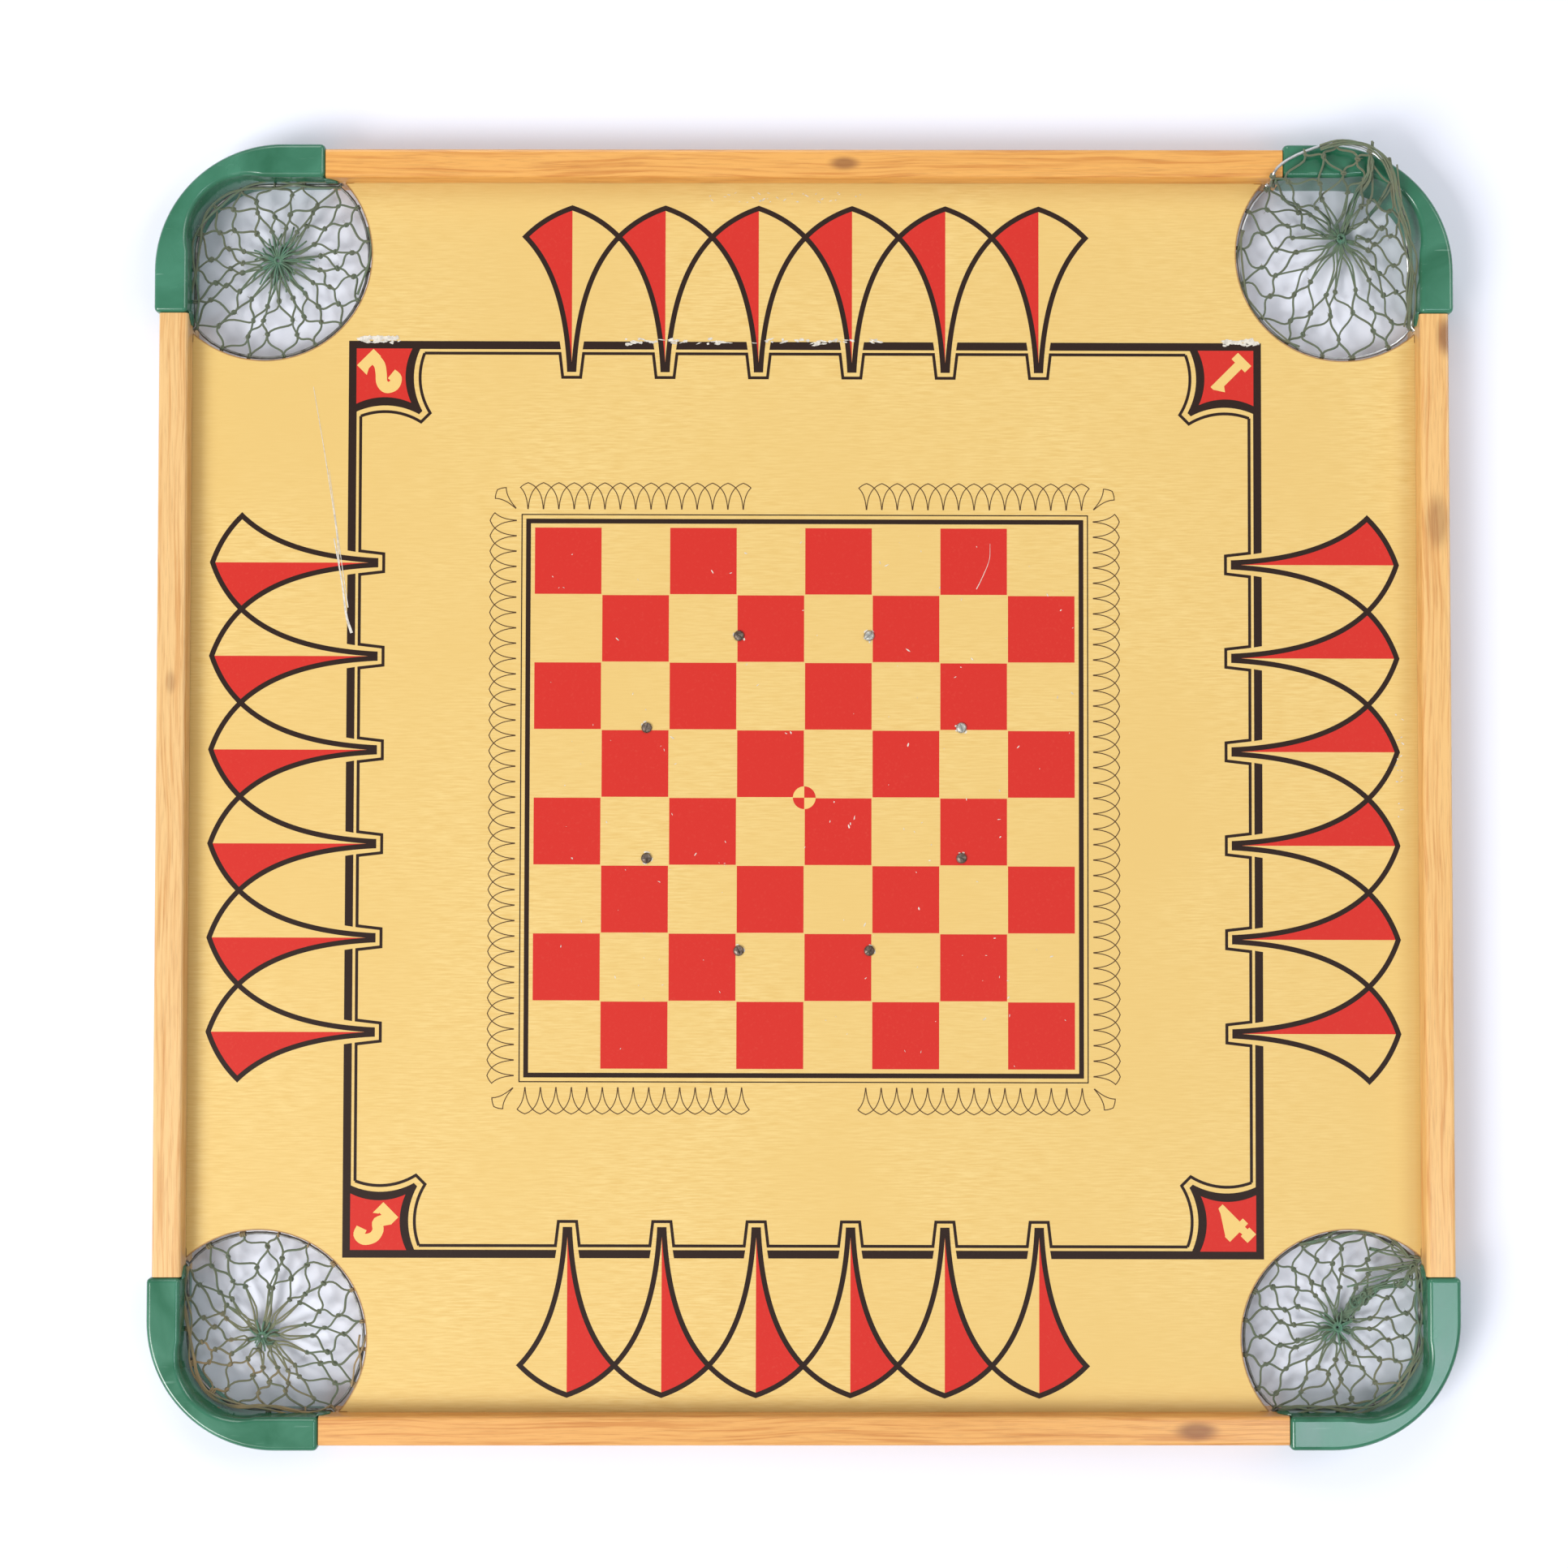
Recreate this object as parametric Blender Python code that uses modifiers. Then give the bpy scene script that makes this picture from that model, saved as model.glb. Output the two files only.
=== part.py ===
"""Square pocket game board: grooved pine rails, moulded corner pieces, a printed hardboard
panel, wire-mouthed twine net pockets and the eight bumper posts of the reverse face.

Millimetres below are turned into metres by MM. The origin is the middle of the footprint on
the surface the board stands on, +Z is up, and pocket 1 is at +X +Y. Pockets 1 to 4 follow
each other anticlockwise, a quarter turn apart.
"""
import math

import bmesh
import bpy
from mathutils import Matrix, Vector

MM = 0.001
GAP = 0.3                      # play between pieces that touch

# Whole board
OVERALL = 711.2                # 28 in across the corner pieces
HEIGHT = 31.0                  # corner pieces, foot to top
HALF = OVERALL / 2
MID_Z = HEIGHT / 2

# Rails: 5/8 in by 1 1/8 in pine, set back from the corner pieces' outer faces
RAIL_SETBACK = 2.6
RAIL_WIDTH = 15.9
RAIL_DEPTH = 28.6
RAIL_EDGE_R = 1.8
RAIL_OUTER = HALF - RAIL_SETBACK
RAIL_INNER = RAIL_OUTER - RAIL_WIDTH
RAIL_MIDDLE = (RAIL_OUTER + RAIL_INNER) / 2
FACE_IN = HALF - RAIL_INNER    # rail's inner face, measured in from the board's outer face

# Panel: 3/16 in hardboard in a stopped groove at mid height
PANEL_THICKNESS = 4.8
GROOVE_DEPTH = 6.3
GROOVE_STOP = 106.6            # groove and tongue end this far from the board's corner
PANEL_TOP = MID_Z + PANEL_THICKNESS / 2
PANEL_FOOT = MID_Z - PANEL_THICKNESS / 2

# Corner pieces
CORNER_LEG = 93.0
CORNER_OUTER_R = 70.0
CORNER_INNER_R = 41.0
CORNER_WALL_IN = FACE_IN - GAP  # inner wall, measured in from the outer face
CORNER_CHAMFER = 1.6
TENON_WIDTH = 8.0
TENON_DEPTH = 18.0
TENON_LENGTH = 22.0

# Pocket hole in the panel
HOLE_IN = 58.0                 # hole's centre, in from both outer faces
HOLE_R = 59.0

# Pocket wires: the bail is the moving corner half, the hoop the fixed panel half
WIRE_R = 0.8
WIRE_HOLE_R = 1.1
PIVOT_ALONG = 99.3             # wire holes, along the rail from the board's corner
PIVOT_IN = (FACE_IN + PIVOT_ALONG) / 2  # middle of the hinge line, in from both faces
PIN_LENGTH = 5.0
WIRE_HOLE_DEPTH = 6.0
PIN_STANDOFF = 1.6             # pin's bend, off the rail's inner face
BAIL_Z = 17.0
HOOP_Z = 14.0
HOOP_R = 57.0
BAIL_OFF_WALL = 1.5

# Nets
NET_THICKNESS = 1.2
NET_INSET = 2.4                # net's rim inside its wires
NET_LOW_Z = 3.6
NET_RAYS = 30
NET_STEPS = 3
NET_GATHER_AT = 0.92           # part of the way from the rim where the net closes
DRAPE_Z = 32.8                 # net 1 where it lies over the corner piece
DRAPE_FOOT_Z = 16.0            # net 1 where it reaches the pocket again
LIP_OFF_WALL = 1.8
LIP_WIDTH = 2.0

# Bumper posts on the reverse face
BUMPER_CIRCLE_R = 93.5
BUMPERS = 8
SHANK_R = 1.6
SHANK_HOLE_R = 1.95
SCREW_HEAD_R = 2.9
SCREW_HEAD_HEIGHT = 1.3
SCREW_FOOT_Z = 2.2
SLOT_WIDTH = 0.8
SLEEVE_R = 4.6
SLEEVE_FOOT_Z = 5.2
NUT_ACROSS_FLATS = 6.35
NUT_FOOT_Z = 2.6

# Brads through the corner pieces into the tenons
BRAD_ALONG = 82.0              # from the board's corner
BRAD_R = 0.75
BRAD_HEAD_R = 1.6
BRAD_HEAD_HEIGHT = 0.8
BRAD_SUNK = 0.4
BRAD_LENGTH = 13.0

NUDGE = 1.0                    # how far a cutter runs past the face it opens


# ---------------------------------------------------------------- building blocks

def clear_scene():
    for item in list(bpy.data.objects):
        bpy.data.objects.remove(item, do_unlink=True)


def collection(name):
    group = bpy.data.collections.new(name)
    bpy.context.scene.collection.children.link(group)
    return group


def material(name, colour, roughness, metallic=0.0):
    mat = bpy.data.materials.new(name)
    mat.use_nodes = True
    shader = mat.node_tree.nodes["Principled BSDF"]
    shader.inputs["Base Color"].default_value = (*colour, 1.0)
    shader.inputs["Roughness"].default_value = roughness
    shader.inputs["Metallic"].default_value = metallic
    return mat


def place(name, mesh, group, mat=None, location=(0, 0, 0), turn=0.0):
    """Link a mesh as a named object, with its place given in millimetres."""
    item = bpy.data.objects.new(name, mesh)
    item.location = Vector(location) * MM
    item.rotation_euler.z = turn
    group.objects.link(item)
    if mat and not mesh.materials:
        mesh.materials.append(mat)
    return item


def cutter(name, mesh):
    item = place(name, mesh, CUTTERS)
    item.hide_render = True
    item.display_type = "WIRE"
    return item


def boolean(item, tool, operation):
    step = item.modifiers.new(tool.name, "BOOLEAN")
    step.object = tool
    step.operation = operation
    step.solver = "EXACT"


def baked(item):
    """The object's evaluated mesh, welded, with the object itself removed."""
    bpy.context.view_layer.update()
    view = bpy.context.evaluated_depsgraph_get()
    mesh = bpy.data.meshes.new_from_object(item.evaluated_get(view))
    mesh.transform(item.matrix_world)
    form = bmesh.new()
    form.from_mesh(mesh)
    bmesh.ops.remove_doubles(form, verts=form.verts, dist=1e-7)
    form.to_mesh(mesh)
    form.free()
    name = item.name
    bpy.data.objects.remove(item, do_unlink=True)
    mesh.name = name
    return mesh


def box(name, low, high):
    """A box between two opposite corners, in millimetres."""
    low, high = Vector(low) * MM, Vector(high) * MM
    form = bmesh.new()
    middle = Matrix.Translation((low + high) / 2)
    size = Matrix.Diagonal((*(high - low), 1.0))
    bmesh.ops.create_cube(form, size=1.0, matrix=middle @ size)
    mesh = bpy.data.meshes.new(name)
    form.to_mesh(mesh)
    form.free()
    return mesh


def rod(name, start, end, radius, sides=12):
    """A solid cylinder between two points, in millimetres."""
    start, end = Vector(start) * MM, Vector(end) * MM
    along = end - start
    aim = along.to_track_quat("Z", "Y").to_matrix().to_4x4()
    form = bmesh.new()
    bmesh.ops.create_cone(
        form, cap_ends=True, segments=sides, radius1=radius * MM, radius2=radius * MM,
        depth=along.length, matrix=Matrix.Translation((start + end) / 2) @ aim)
    mesh = bpy.data.meshes.new(name)
    form.to_mesh(mesh)
    form.free()
    return mesh


def arc(centre, radius, start, end, steps):
    """Points along an arc, angles in degrees, both ends included."""
    points = []
    for step in range(steps + 1):
        angle = math.radians(start + (end - start) * step / steps)
        points.append((centre[0] + radius * math.cos(angle),
                       centre[1] + radius * math.sin(angle)))
    return points


def prism(name, outlines, low, high):
    """Flat outlines, holes among them, filled and given a thickness from low to high."""
    curve = bpy.data.curves.new(name, "CURVE")
    curve.dimensions = "2D"
    curve.fill_mode = "BOTH"
    curve.extrude = (high - low) / 2 * MM
    for outline in outlines:
        spline = curve.splines.new("POLY")
        spline.points.add(len(outline) - 1)
        spline.use_cyclic_u = True
        for point, (x, y) in zip(spline.points, outline):
            point.co = (x * MM, y * MM, 0.0, 1.0)
    item = bpy.data.objects.new(name, curve)
    item.location.z = (low + high) / 2 * MM
    bpy.context.scene.collection.objects.link(item)
    return baked(item)


def turned(name, profile, sides=14, closed=False):
    """A turned solid from a profile of (radius, z) that runs down its outer side."""
    mesh = bpy.data.meshes.new(name)
    form = bmesh.new()
    ring = [form.verts.new((radius * MM, 0.0, z * MM)) for radius, z in profile]
    pairs = list(zip(ring, ring[1:]))
    if closed:
        pairs.append((ring[-1], ring[0]))
    for first, second in pairs:
        form.edges.new((first, second))
    form.to_mesh(mesh)
    form.free()
    item = bpy.data.objects.new(name, mesh)
    bpy.context.scene.collection.objects.link(item)
    spin = item.modifiers.new("turn", "SCREW")
    spin.steps = sides
    spin.render_steps = sides
    spin.use_merge_vertices = True
    spin.merge_threshold = 1e-5
    return baked(item)


def wire(name, points, group, mat, location, turn):
    """A round wire through points in millimetres, as a curve with filled ends."""
    curve = bpy.data.curves.new(name, "CURVE")
    curve.dimensions = "3D"
    curve.bevel_depth = WIRE_R * MM
    curve.bevel_resolution = 2
    curve.use_fill_caps = True
    curve.materials.append(mat)
    spline = curve.splines.new("POLY")
    spline.points.add(len(points) - 1)
    for spot, point in zip(spline.points, points):
        spot.co = (*(Vector(point) * MM), 1.0)
    item = bpy.data.objects.new(name, curve)
    item.location = Vector(location) * MM
    item.rotation_euler.z = turn
    group.objects.link(item)
    return item


def shade_round(mesh, angle=35.0):
    mesh.shade_smooth()
    mesh.set_sharp_from_angle(angle=math.radians(angle))


# ---------------------------------------------------------------- rails and panel

def rounded_section(low, high, radius):
    """Outline of a rectangle with round corners, anticlockwise."""
    points = []
    for index, (x, y) in enumerate([(high[0], high[1]), (low[0], high[1]),
                                    (low[0], low[1]), (high[0], low[1])]):
        centre = (x - math.copysign(radius, x - (low[0] + high[0]) / 2),
                  y - math.copysign(radius, y - (low[1] + high[1]) / 2))
        points += arc(centre, radius, 90 * index, 90 * index + 90, 3)
    return points


def rail_mesh():
    """The front rail, along X at -Y: rounded stock, stopped groove, tenons, wire and brad holes."""
    end = HALF - CORNER_LEG - GAP
    tenon_end = end + TENON_LENGTH
    low = (-RAIL_OUTER, MID_Z - RAIL_DEPTH / 2)
    high = (-RAIL_INNER, MID_Z + RAIL_DEPTH / 2)
    stock = prism("rail_stock", [rounded_section(low, high, RAIL_EDGE_R)], -end, end)
    # the section was drawn in X and Y: stand it up so that it runs along the rail
    stock.transform(Matrix(((0, 0, 1, 0), (1, 0, 0, 0), (0, 1, 0, 0), (0, 0, 0, 1))))
    rail = place("rail_blank", stock, CUTTERS)

    groove_end = HALF - GROOVE_STOP
    half_mouth = PANEL_THICKNESS / 2 + GAP
    groove = cutter("groove", box(
        "groove", (-groove_end, -RAIL_INNER - GROOVE_DEPTH, MID_Z - half_mouth),
        (groove_end, -RAIL_INNER + NUDGE, MID_Z + half_mouth)))
    boolean(rail, groove, "DIFFERENCE")

    for side in (-1, 1):
        near, far = sorted((side * (end - 2 * NUDGE), side * tenon_end))
        tenon = cutter("tenon", box(
            "tenon", (near, -RAIL_MIDDLE - TENON_WIDTH / 2, MID_Z - TENON_DEPTH / 2),
            (far, -RAIL_MIDDLE + TENON_WIDTH / 2, MID_Z + TENON_DEPTH / 2)))
        boolean(rail, tenon, "UNION")

        along = HALF - PIVOT_ALONG
        slant = math.sqrt(0.5)
        for height in (BAIL_Z, HOOP_Z):
            face = Vector((side * along, -RAIL_INNER, height))
            inward = Vector((-side * slant, -slant, 0.0))
            hole = cutter("wire_hole", rod(
                "wire_hole", face - inward * 2 * NUDGE, face + inward * WIRE_HOLE_DEPTH,
                WIRE_HOLE_R))
            boolean(rail, hole, "DIFFERENCE")

        brad_x = side * (HALF - BRAD_ALONG)
        pilot_end = -HALF + BRAD_SUNK + BRAD_LENGTH + GAP
        pilot = cutter("brad_pilot", rod(
            "brad_pilot", (brad_x, -RAIL_MIDDLE - TENON_WIDTH, MID_Z),
            (brad_x, pilot_end, MID_Z), BRAD_R + GAP))
        boolean(rail, pilot, "DIFFERENCE")
    mesh = baked(rail)
    shade_round(mesh)
    return mesh


def panel_outline():
    """The panel's edge: four quarters, each a tongue edge and the arc of a pocket hole."""
    tongue = RAIL_INNER + GROOVE_DEPTH - GAP
    face = RAIL_INNER - GAP
    stop = HALF - GROOVE_STOP - GAP
    centre = HALF - HOLE_IN
    reach = math.degrees(math.acos((face - centre) / HOLE_R))
    corner = [(tongue, stop), (face, stop)]
    corner += arc((centre, centre), HOLE_R, -reach, reach - 270, 32)
    corner += [(stop, face), (stop, tongue)]
    outline = []
    for quarter in range(4):
        turn = Matrix.Rotation(quarter * math.pi / 2, 2)
        outline += [tuple(turn @ Vector(point)) for point in corner]
    return outline


def bumper_spots():
    return [(BUMPER_CIRCLE_R * math.cos(math.radians(22.5 + 360 * index / BUMPERS)),
             BUMPER_CIRCLE_R * math.sin(math.radians(22.5 + 360 * index / BUMPERS)))
            for index in range(BUMPERS)]


def panel_mesh():
    outlines = [panel_outline()]
    for spot in bumper_spots():
        outlines.append(arc(spot, SHANK_HOLE_R, 0, 330, 11))
    return prism("panel", outlines, PANEL_FOOT, PANEL_TOP)


# ---------------------------------------------------------------- corner pieces

def in_pocket(along_x, along_y):
    """A point of pocket 1 from its distances in from the board's +X and +Y outer faces."""
    return (PIVOT_IN - along_x, PIVOT_IN - along_y)


def corner_mesh():
    """Corner piece 1, about the middle of its pocket's hinge line."""
    outer = in_pocket(CORNER_OUTER_R, CORNER_OUTER_R)
    inner_in = CORNER_WALL_IN + CORNER_INNER_R
    inner = in_pocket(inner_in, inner_in)
    outline = arc(outer, CORNER_OUTER_R, 0, 90, 14)
    outline += [in_pocket(CORNER_LEG, 0), in_pocket(CORNER_LEG, CORNER_WALL_IN)]
    outline += arc(inner, CORNER_INNER_R, 90, 0, 12)
    outline += [in_pocket(CORNER_WALL_IN, CORNER_LEG), in_pocket(0, CORNER_LEG)]
    body = place("corner_blank", prism("corner_blank", [outline], 0.0, HEIGHT), CUTTERS)
    soft = body.modifiers.new("broken_edges", "BEVEL")
    soft.width = CORNER_CHAMFER * MM
    soft.segments = 1
    soft.limit_method = "ANGLE"

    middle_in = HALF - RAIL_MIDDLE
    half_width = TENON_WIDTH / 2 + GAP
    half_depth = TENON_DEPTH / 2 + GAP
    floor = CORNER_LEG - TENON_LENGTH - 2 * GAP
    leg_end = CORNER_LEG + NUDGE
    for swap in (False, True):
        def spot(along, across, z):
            x, y = in_pocket(across, along) if swap else in_pocket(along, across)
            return (x, y, z)

        first = spot(floor, middle_in - half_width, MID_Z - half_depth)
        second = spot(leg_end, middle_in + half_width, MID_Z + half_depth)
        low = [min(pair) for pair in zip(first, second)]
        high = [max(pair) for pair in zip(first, second)]
        boolean(body, cutter("socket", box("socket", low, high)), "DIFFERENCE")
        for name, radius, depth in (("brad_hole", BRAD_R + GAP, middle_in),
                                    ("brad_sink", BRAD_HEAD_R + GAP,
                                     BRAD_SUNK + BRAD_HEAD_HEIGHT + GAP)):
            hole = rod(name, spot(BRAD_ALONG, -NUDGE, MID_Z), spot(BRAD_ALONG, depth, MID_Z),
                       radius)
            boolean(body, cutter(name, hole), "DIFFERENCE")
    mesh = baked(body)
    shade_round(mesh)
    return mesh


# ---------------------------------------------------------------- pocket wires

def pin_ends(height):
    """Deep end and bend of the wire in the +Y rail, then bend and deep end in the +X rail."""
    slant = math.sqrt(0.5)
    bend_x, bend_y = in_pocket(PIVOT_ALONG, FACE_IN)
    deep = (bend_x - PIN_LENGTH * slant, bend_y + PIN_LENGTH * slant, height)
    bend = (bend_x + PIN_STANDOFF * slant, bend_y - PIN_STANDOFF * slant, height)
    return deep, bend, (bend[1], bend[0], height), (deep[1], deep[0], height)


def hoop_route():
    """The panel half: pins, and an arc just inside the panel's hole."""
    deep, bend, far_bend, far_deep = pin_ends(0.0)
    cx, cy = in_pocket(HOLE_IN, HOLE_IN)
    start = math.degrees(math.atan2(bend[1] - cy, bend[0] - cx))
    end = 90 - start + 360
    pin_r = math.hypot(bend[0] - cx, bend[1] - cy)
    steps = 30
    points = [deep]
    for step in range(steps + 1):
        along = step / steps
        near_end = max(0.0, 1 - min(along, 1 - along) * 12) ** 2
        radius = HOOP_R + (pin_r - HOOP_R) * near_end
        angle = math.radians(start + (end - start) * along)
        points.append((cx + radius * math.cos(angle), cy + radius * math.sin(angle), 0.0))
    return points + [far_deep]


def seated_bail_route():
    """The corner half, lying along the corner piece's inner wall."""
    deep, bend, far_bend, far_deep = pin_ends(0.0)
    inner_in = CORNER_WALL_IN + CORNER_INNER_R
    centre = in_pocket(inner_in, inner_in)
    bow = [(x, y, 0.0) for x, y in arc(centre, CORNER_INNER_R - BAIL_OFF_WALL, 90, 0, 16)]
    return [deep, bend] + bow + [far_bend, far_deep]


def smooth_route(points, steps):
    """A Catmull-Rom curve through points, with the given steps from one to the next."""
    spots = [Vector(point) for point in points]
    spots = [2 * spots[0] - spots[1]] + spots + [2 * spots[-1] - spots[-2]]
    route = []
    for a, b, c, d in zip(spots, spots[1:], spots[2:], spots[3:]):
        for step in range(steps):
            t = step / steps
            route.append(0.5 * (2 * b + (c - a) * t + (2 * a - 5 * b + 4 * c - d) * t ** 2
                                + (3 * b - a - 3 * c + d) * t ** 3))
    return route + [spots[-2]]


# Pocket 1's bail has sprung out of the pocket. From its hole in the +Y rail it climbs the
# rail's face, crosses the rail and bows over the corner piece, then drops back to its hole
# in the +X rail. Distances in from the +X face, in from the +Y face, and height.
SPRUNG_BAIL = [(98.6, 20.2, 22.0), (99.4, 20.4, 28.0), (99.6, 18.6, 33.0), (97.2, 14.2, 34.6),
               (91.0, 9.6, 35.2), (82.0, 5.4, 35.6), (72.0, 2.2, 36.0), (62.0, 1.4, 36.0),
               (52.0, 3.0, 36.0), (43.0, 7.6, 35.8), (36.6, 14.6, 35.4), (32.8, 22.4, 35.0),
               (30.0, 31.0, 34.4), (27.6, 41.0, 32.6), (25.4, 53.0, 29.2), (23.6, 66.0, 24.8),
               (21.8, 80.0, 20.2)]


def sprung_bail_route():
    deep, bend, far_bend, far_deep = pin_ends(0.0)
    bow = [(*in_pocket(x, y), z - BAIL_Z) for x, y, z in SPRUNG_BAIL]
    return [deep] + [tuple(spot) for spot in smooth_route([bend] + bow + [far_bend], 2)] \
        + [far_deep]


# ---------------------------------------------------------------- nets

def mouth(bail, hoop):
    """The wires' closed line, from the hoop's end round the bail, evenly spaced."""
    line = [Vector((x, y, z + HOOP_Z)) for x, y, z in hoop[1:-1]]
    line += [Vector((x, y, z + BAIL_Z)) for x, y, z in reversed(bail[1:-1])]
    line.append(line[0])
    lengths = [(end - start).length for start, end in zip(line, line[1:])]
    spacing = sum(lengths) / NET_RAYS
    rim = []
    travelled = 0.0
    for start, end, length in zip(line, line[1:], lengths):
        while len(rim) < NET_RAYS and len(rim) * spacing <= travelled + length:
            rim.append(start.lerp(end, (len(rim) * spacing - travelled) / length))
        travelled += length
    return rim


def outside_wall(x, y):
    """How far a point lies beyond the corner piece's inner wall, negative inside the pocket."""
    inner_in = CORNER_WALL_IN + CORNER_INNER_R
    cx, cy = in_pocket(inner_in, inner_in)
    dx, dy = max(x - cx, 0.0), max(y - cy, 0.0)
    return math.hypot(dx, dy) - CORNER_INNER_R


def ray_route(rim_spot, rim_z, gather_spot):
    """One strip of a net from its rim to its gather: over the wall if its rim lies outside."""
    rim_spot, gather_spot = Vector(rim_spot), Vector(gather_spot)
    run = gather_spot - rim_spot
    draped = outside_wall(*rim_spot) > -LIP_OFF_WALL
    lip = 0.08
    while draped and outside_wall(*(rim_spot + run * lip)) > -LIP_OFF_WALL:
        lip += 0.005
    foot = lip + LIP_WIDTH / run.length
    start_z = min(rim_z, DRAPE_FOOT_Z) if draped else rim_z
    route = []
    for part in (0.0, lip / 2, lip):
        hung_z = NET_LOW_Z + (start_z - NET_LOW_Z) * (1 - part) ** 2
        laid_z = rim_z + (DRAPE_Z - rim_z) * part / lip
        route.append((*(rim_spot + run * part), laid_z if draped else hung_z))
    for step in range(NET_STEPS + 1):
        part = foot + (NET_GATHER_AT - foot) * step / NET_STEPS
        route.append((*(rim_spot + run * part),
                      NET_LOW_Z + (start_z - NET_LOW_Z) * (1 - part) ** 2))
    return route


def net_mesh(name, rim, gather):
    """An open, shallow bag from the wires' mouth to its gather, with a real thickness."""
    routes = []
    for spot in rim:
        inset = spot.xy * (1 - NET_INSET / spot.xy.length)
        routes.append(ray_route(inset, spot.z, in_pocket(*gather)))
    form = bmesh.new()
    rings = [[form.verts.new(Vector(spot) * MM) for spot in ring] for ring in zip(*routes)]
    for outer, inner in zip(rings, rings[1:]):
        for ray in range(NET_RAYS):
            following = (ray + 1) % NET_RAYS
            form.faces.new((outer[ray], outer[following], inner[following], inner[ray]))
    form.faces.new(rings[-1])
    mesh = bpy.data.meshes.new(name)
    form.to_mesh(mesh)
    form.free()
    item = bpy.data.objects.new(name, mesh)
    bpy.context.scene.collection.objects.link(item)
    skin = item.modifiers.new("thickness", "SOLIDIFY")
    skin.thickness = NET_THICKNESS * MM
    skin.offset = 0.0
    mesh = baked(item)
    mesh.shade_smooth()
    return mesh


# ---------------------------------------------------------------- bumper posts and brads

def screw_mesh():
    """Slotted round-head machine screw, standing on its foot, about the post's axis."""
    head_foot = PANEL_TOP + GAP
    head_top = head_foot + SCREW_HEAD_HEIGHT
    rise = SCREW_HEAD_HEIGHT
    profile = [(0.0, head_top), (SCREW_HEAD_R * 0.45, head_top - 0.06 * rise),
               (SCREW_HEAD_R * 0.8, head_top - 0.28 * rise),
               (SCREW_HEAD_R, head_top - 0.68 * rise), (SCREW_HEAD_R, head_foot),
               (SHANK_R, head_foot), (SHANK_R, SCREW_FOOT_Z + 0.4),
               (SHANK_R - 0.4, SCREW_FOOT_Z), (0.0, SCREW_FOOT_Z)]
    screw = place("screw_blank", turned("screw_blank", profile), CUTTERS)
    slot = cutter("screw_slot", box(
        "screw_slot", (-SCREW_HEAD_R - NUDGE, -SLOT_WIDTH / 2, head_top - 0.6 * rise),
        (SCREW_HEAD_R + NUDGE, SLOT_WIDTH / 2, head_top + NUDGE)))
    boolean(screw, slot, "DIFFERENCE")
    mesh = baked(screw)
    shade_round(mesh)
    return mesh


def sleeve_mesh():
    top = PANEL_FOOT - GAP
    round_r = 0.8
    profile = [(SLEEVE_R - round_r, top), (SLEEVE_R, top - round_r),
               (SLEEVE_R, SLEEVE_FOOT_Z + round_r), (SLEEVE_R - round_r, SLEEVE_FOOT_Z),
               (SHANK_HOLE_R, SLEEVE_FOOT_Z), (SHANK_HOLE_R, top)]
    mesh = turned("bumper_sleeve", profile, closed=True)
    shade_round(mesh)
    return mesh


def nut_mesh():
    hexagon = arc((0, 0), NUT_ACROSS_FLATS / math.sqrt(3), 0, 300, 5)
    bore = arc((0, 0), SHANK_HOLE_R, 0, 330, 11)
    return prism("bumper_nut", [hexagon, bore], NUT_FOOT_Z, SLEEVE_FOOT_Z - GAP)


def brad_mesh():
    """A brad with its head up, its axis along Z and the head's top at the origin."""
    profile = [(0.0, 0.0), (BRAD_HEAD_R, 0.0), (BRAD_HEAD_R, -BRAD_HEAD_HEIGHT),
               (BRAD_R, -BRAD_HEAD_HEIGHT), (BRAD_R, 1.5 - BRAD_LENGTH), (0.0, -BRAD_LENGTH)]
    mesh = turned("corner_brad", profile, sides=8)
    shade_round(mesh)
    return mesh


# ---------------------------------------------------------------- assembly

clear_scene()
BOARD = collection("carrom_board")
CUTTERS = collection("cutters")

PINE = material("lacquered_pine", (0.72, 0.38, 0.14), 0.45)
PRINTED = material("painted_hardboard", (0.89, 0.64, 0.22), 0.5)
PLASTIC = material("moulded_plastic", (0.05, 0.23, 0.14), 0.3)
STEEL = material("drawn_wire", (0.6, 0.6, 0.58), 0.3, 1.0)
TWINE = material("green_twine", (0.12, 0.16, 0.1), 0.9)
SCREW_STEEL = material("plated_screw", (0.45, 0.4, 0.34), 0.4, 1.0)
RUBBER = material("bumper_rubber", (0.05, 0.05, 0.05), 0.8)
BRAD_STEEL = material("brad_steel", (0.5, 0.48, 0.45), 0.4, 1.0)

place("panel", panel_mesh(), BOARD, PRINTED)

rail = rail_mesh()
for index, side in enumerate(("front", "right", "back", "left")):
    place(f"rail_{side}", rail, BOARD, PINE, turn=index * math.pi / 2)

corner = corner_mesh()
hoop = hoop_route()
seated = seated_bail_route()
sprung = sprung_bail_route()
brad = brad_mesh()
POCKET_FROM_MIDDLE = HALF - PIVOT_IN
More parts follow.
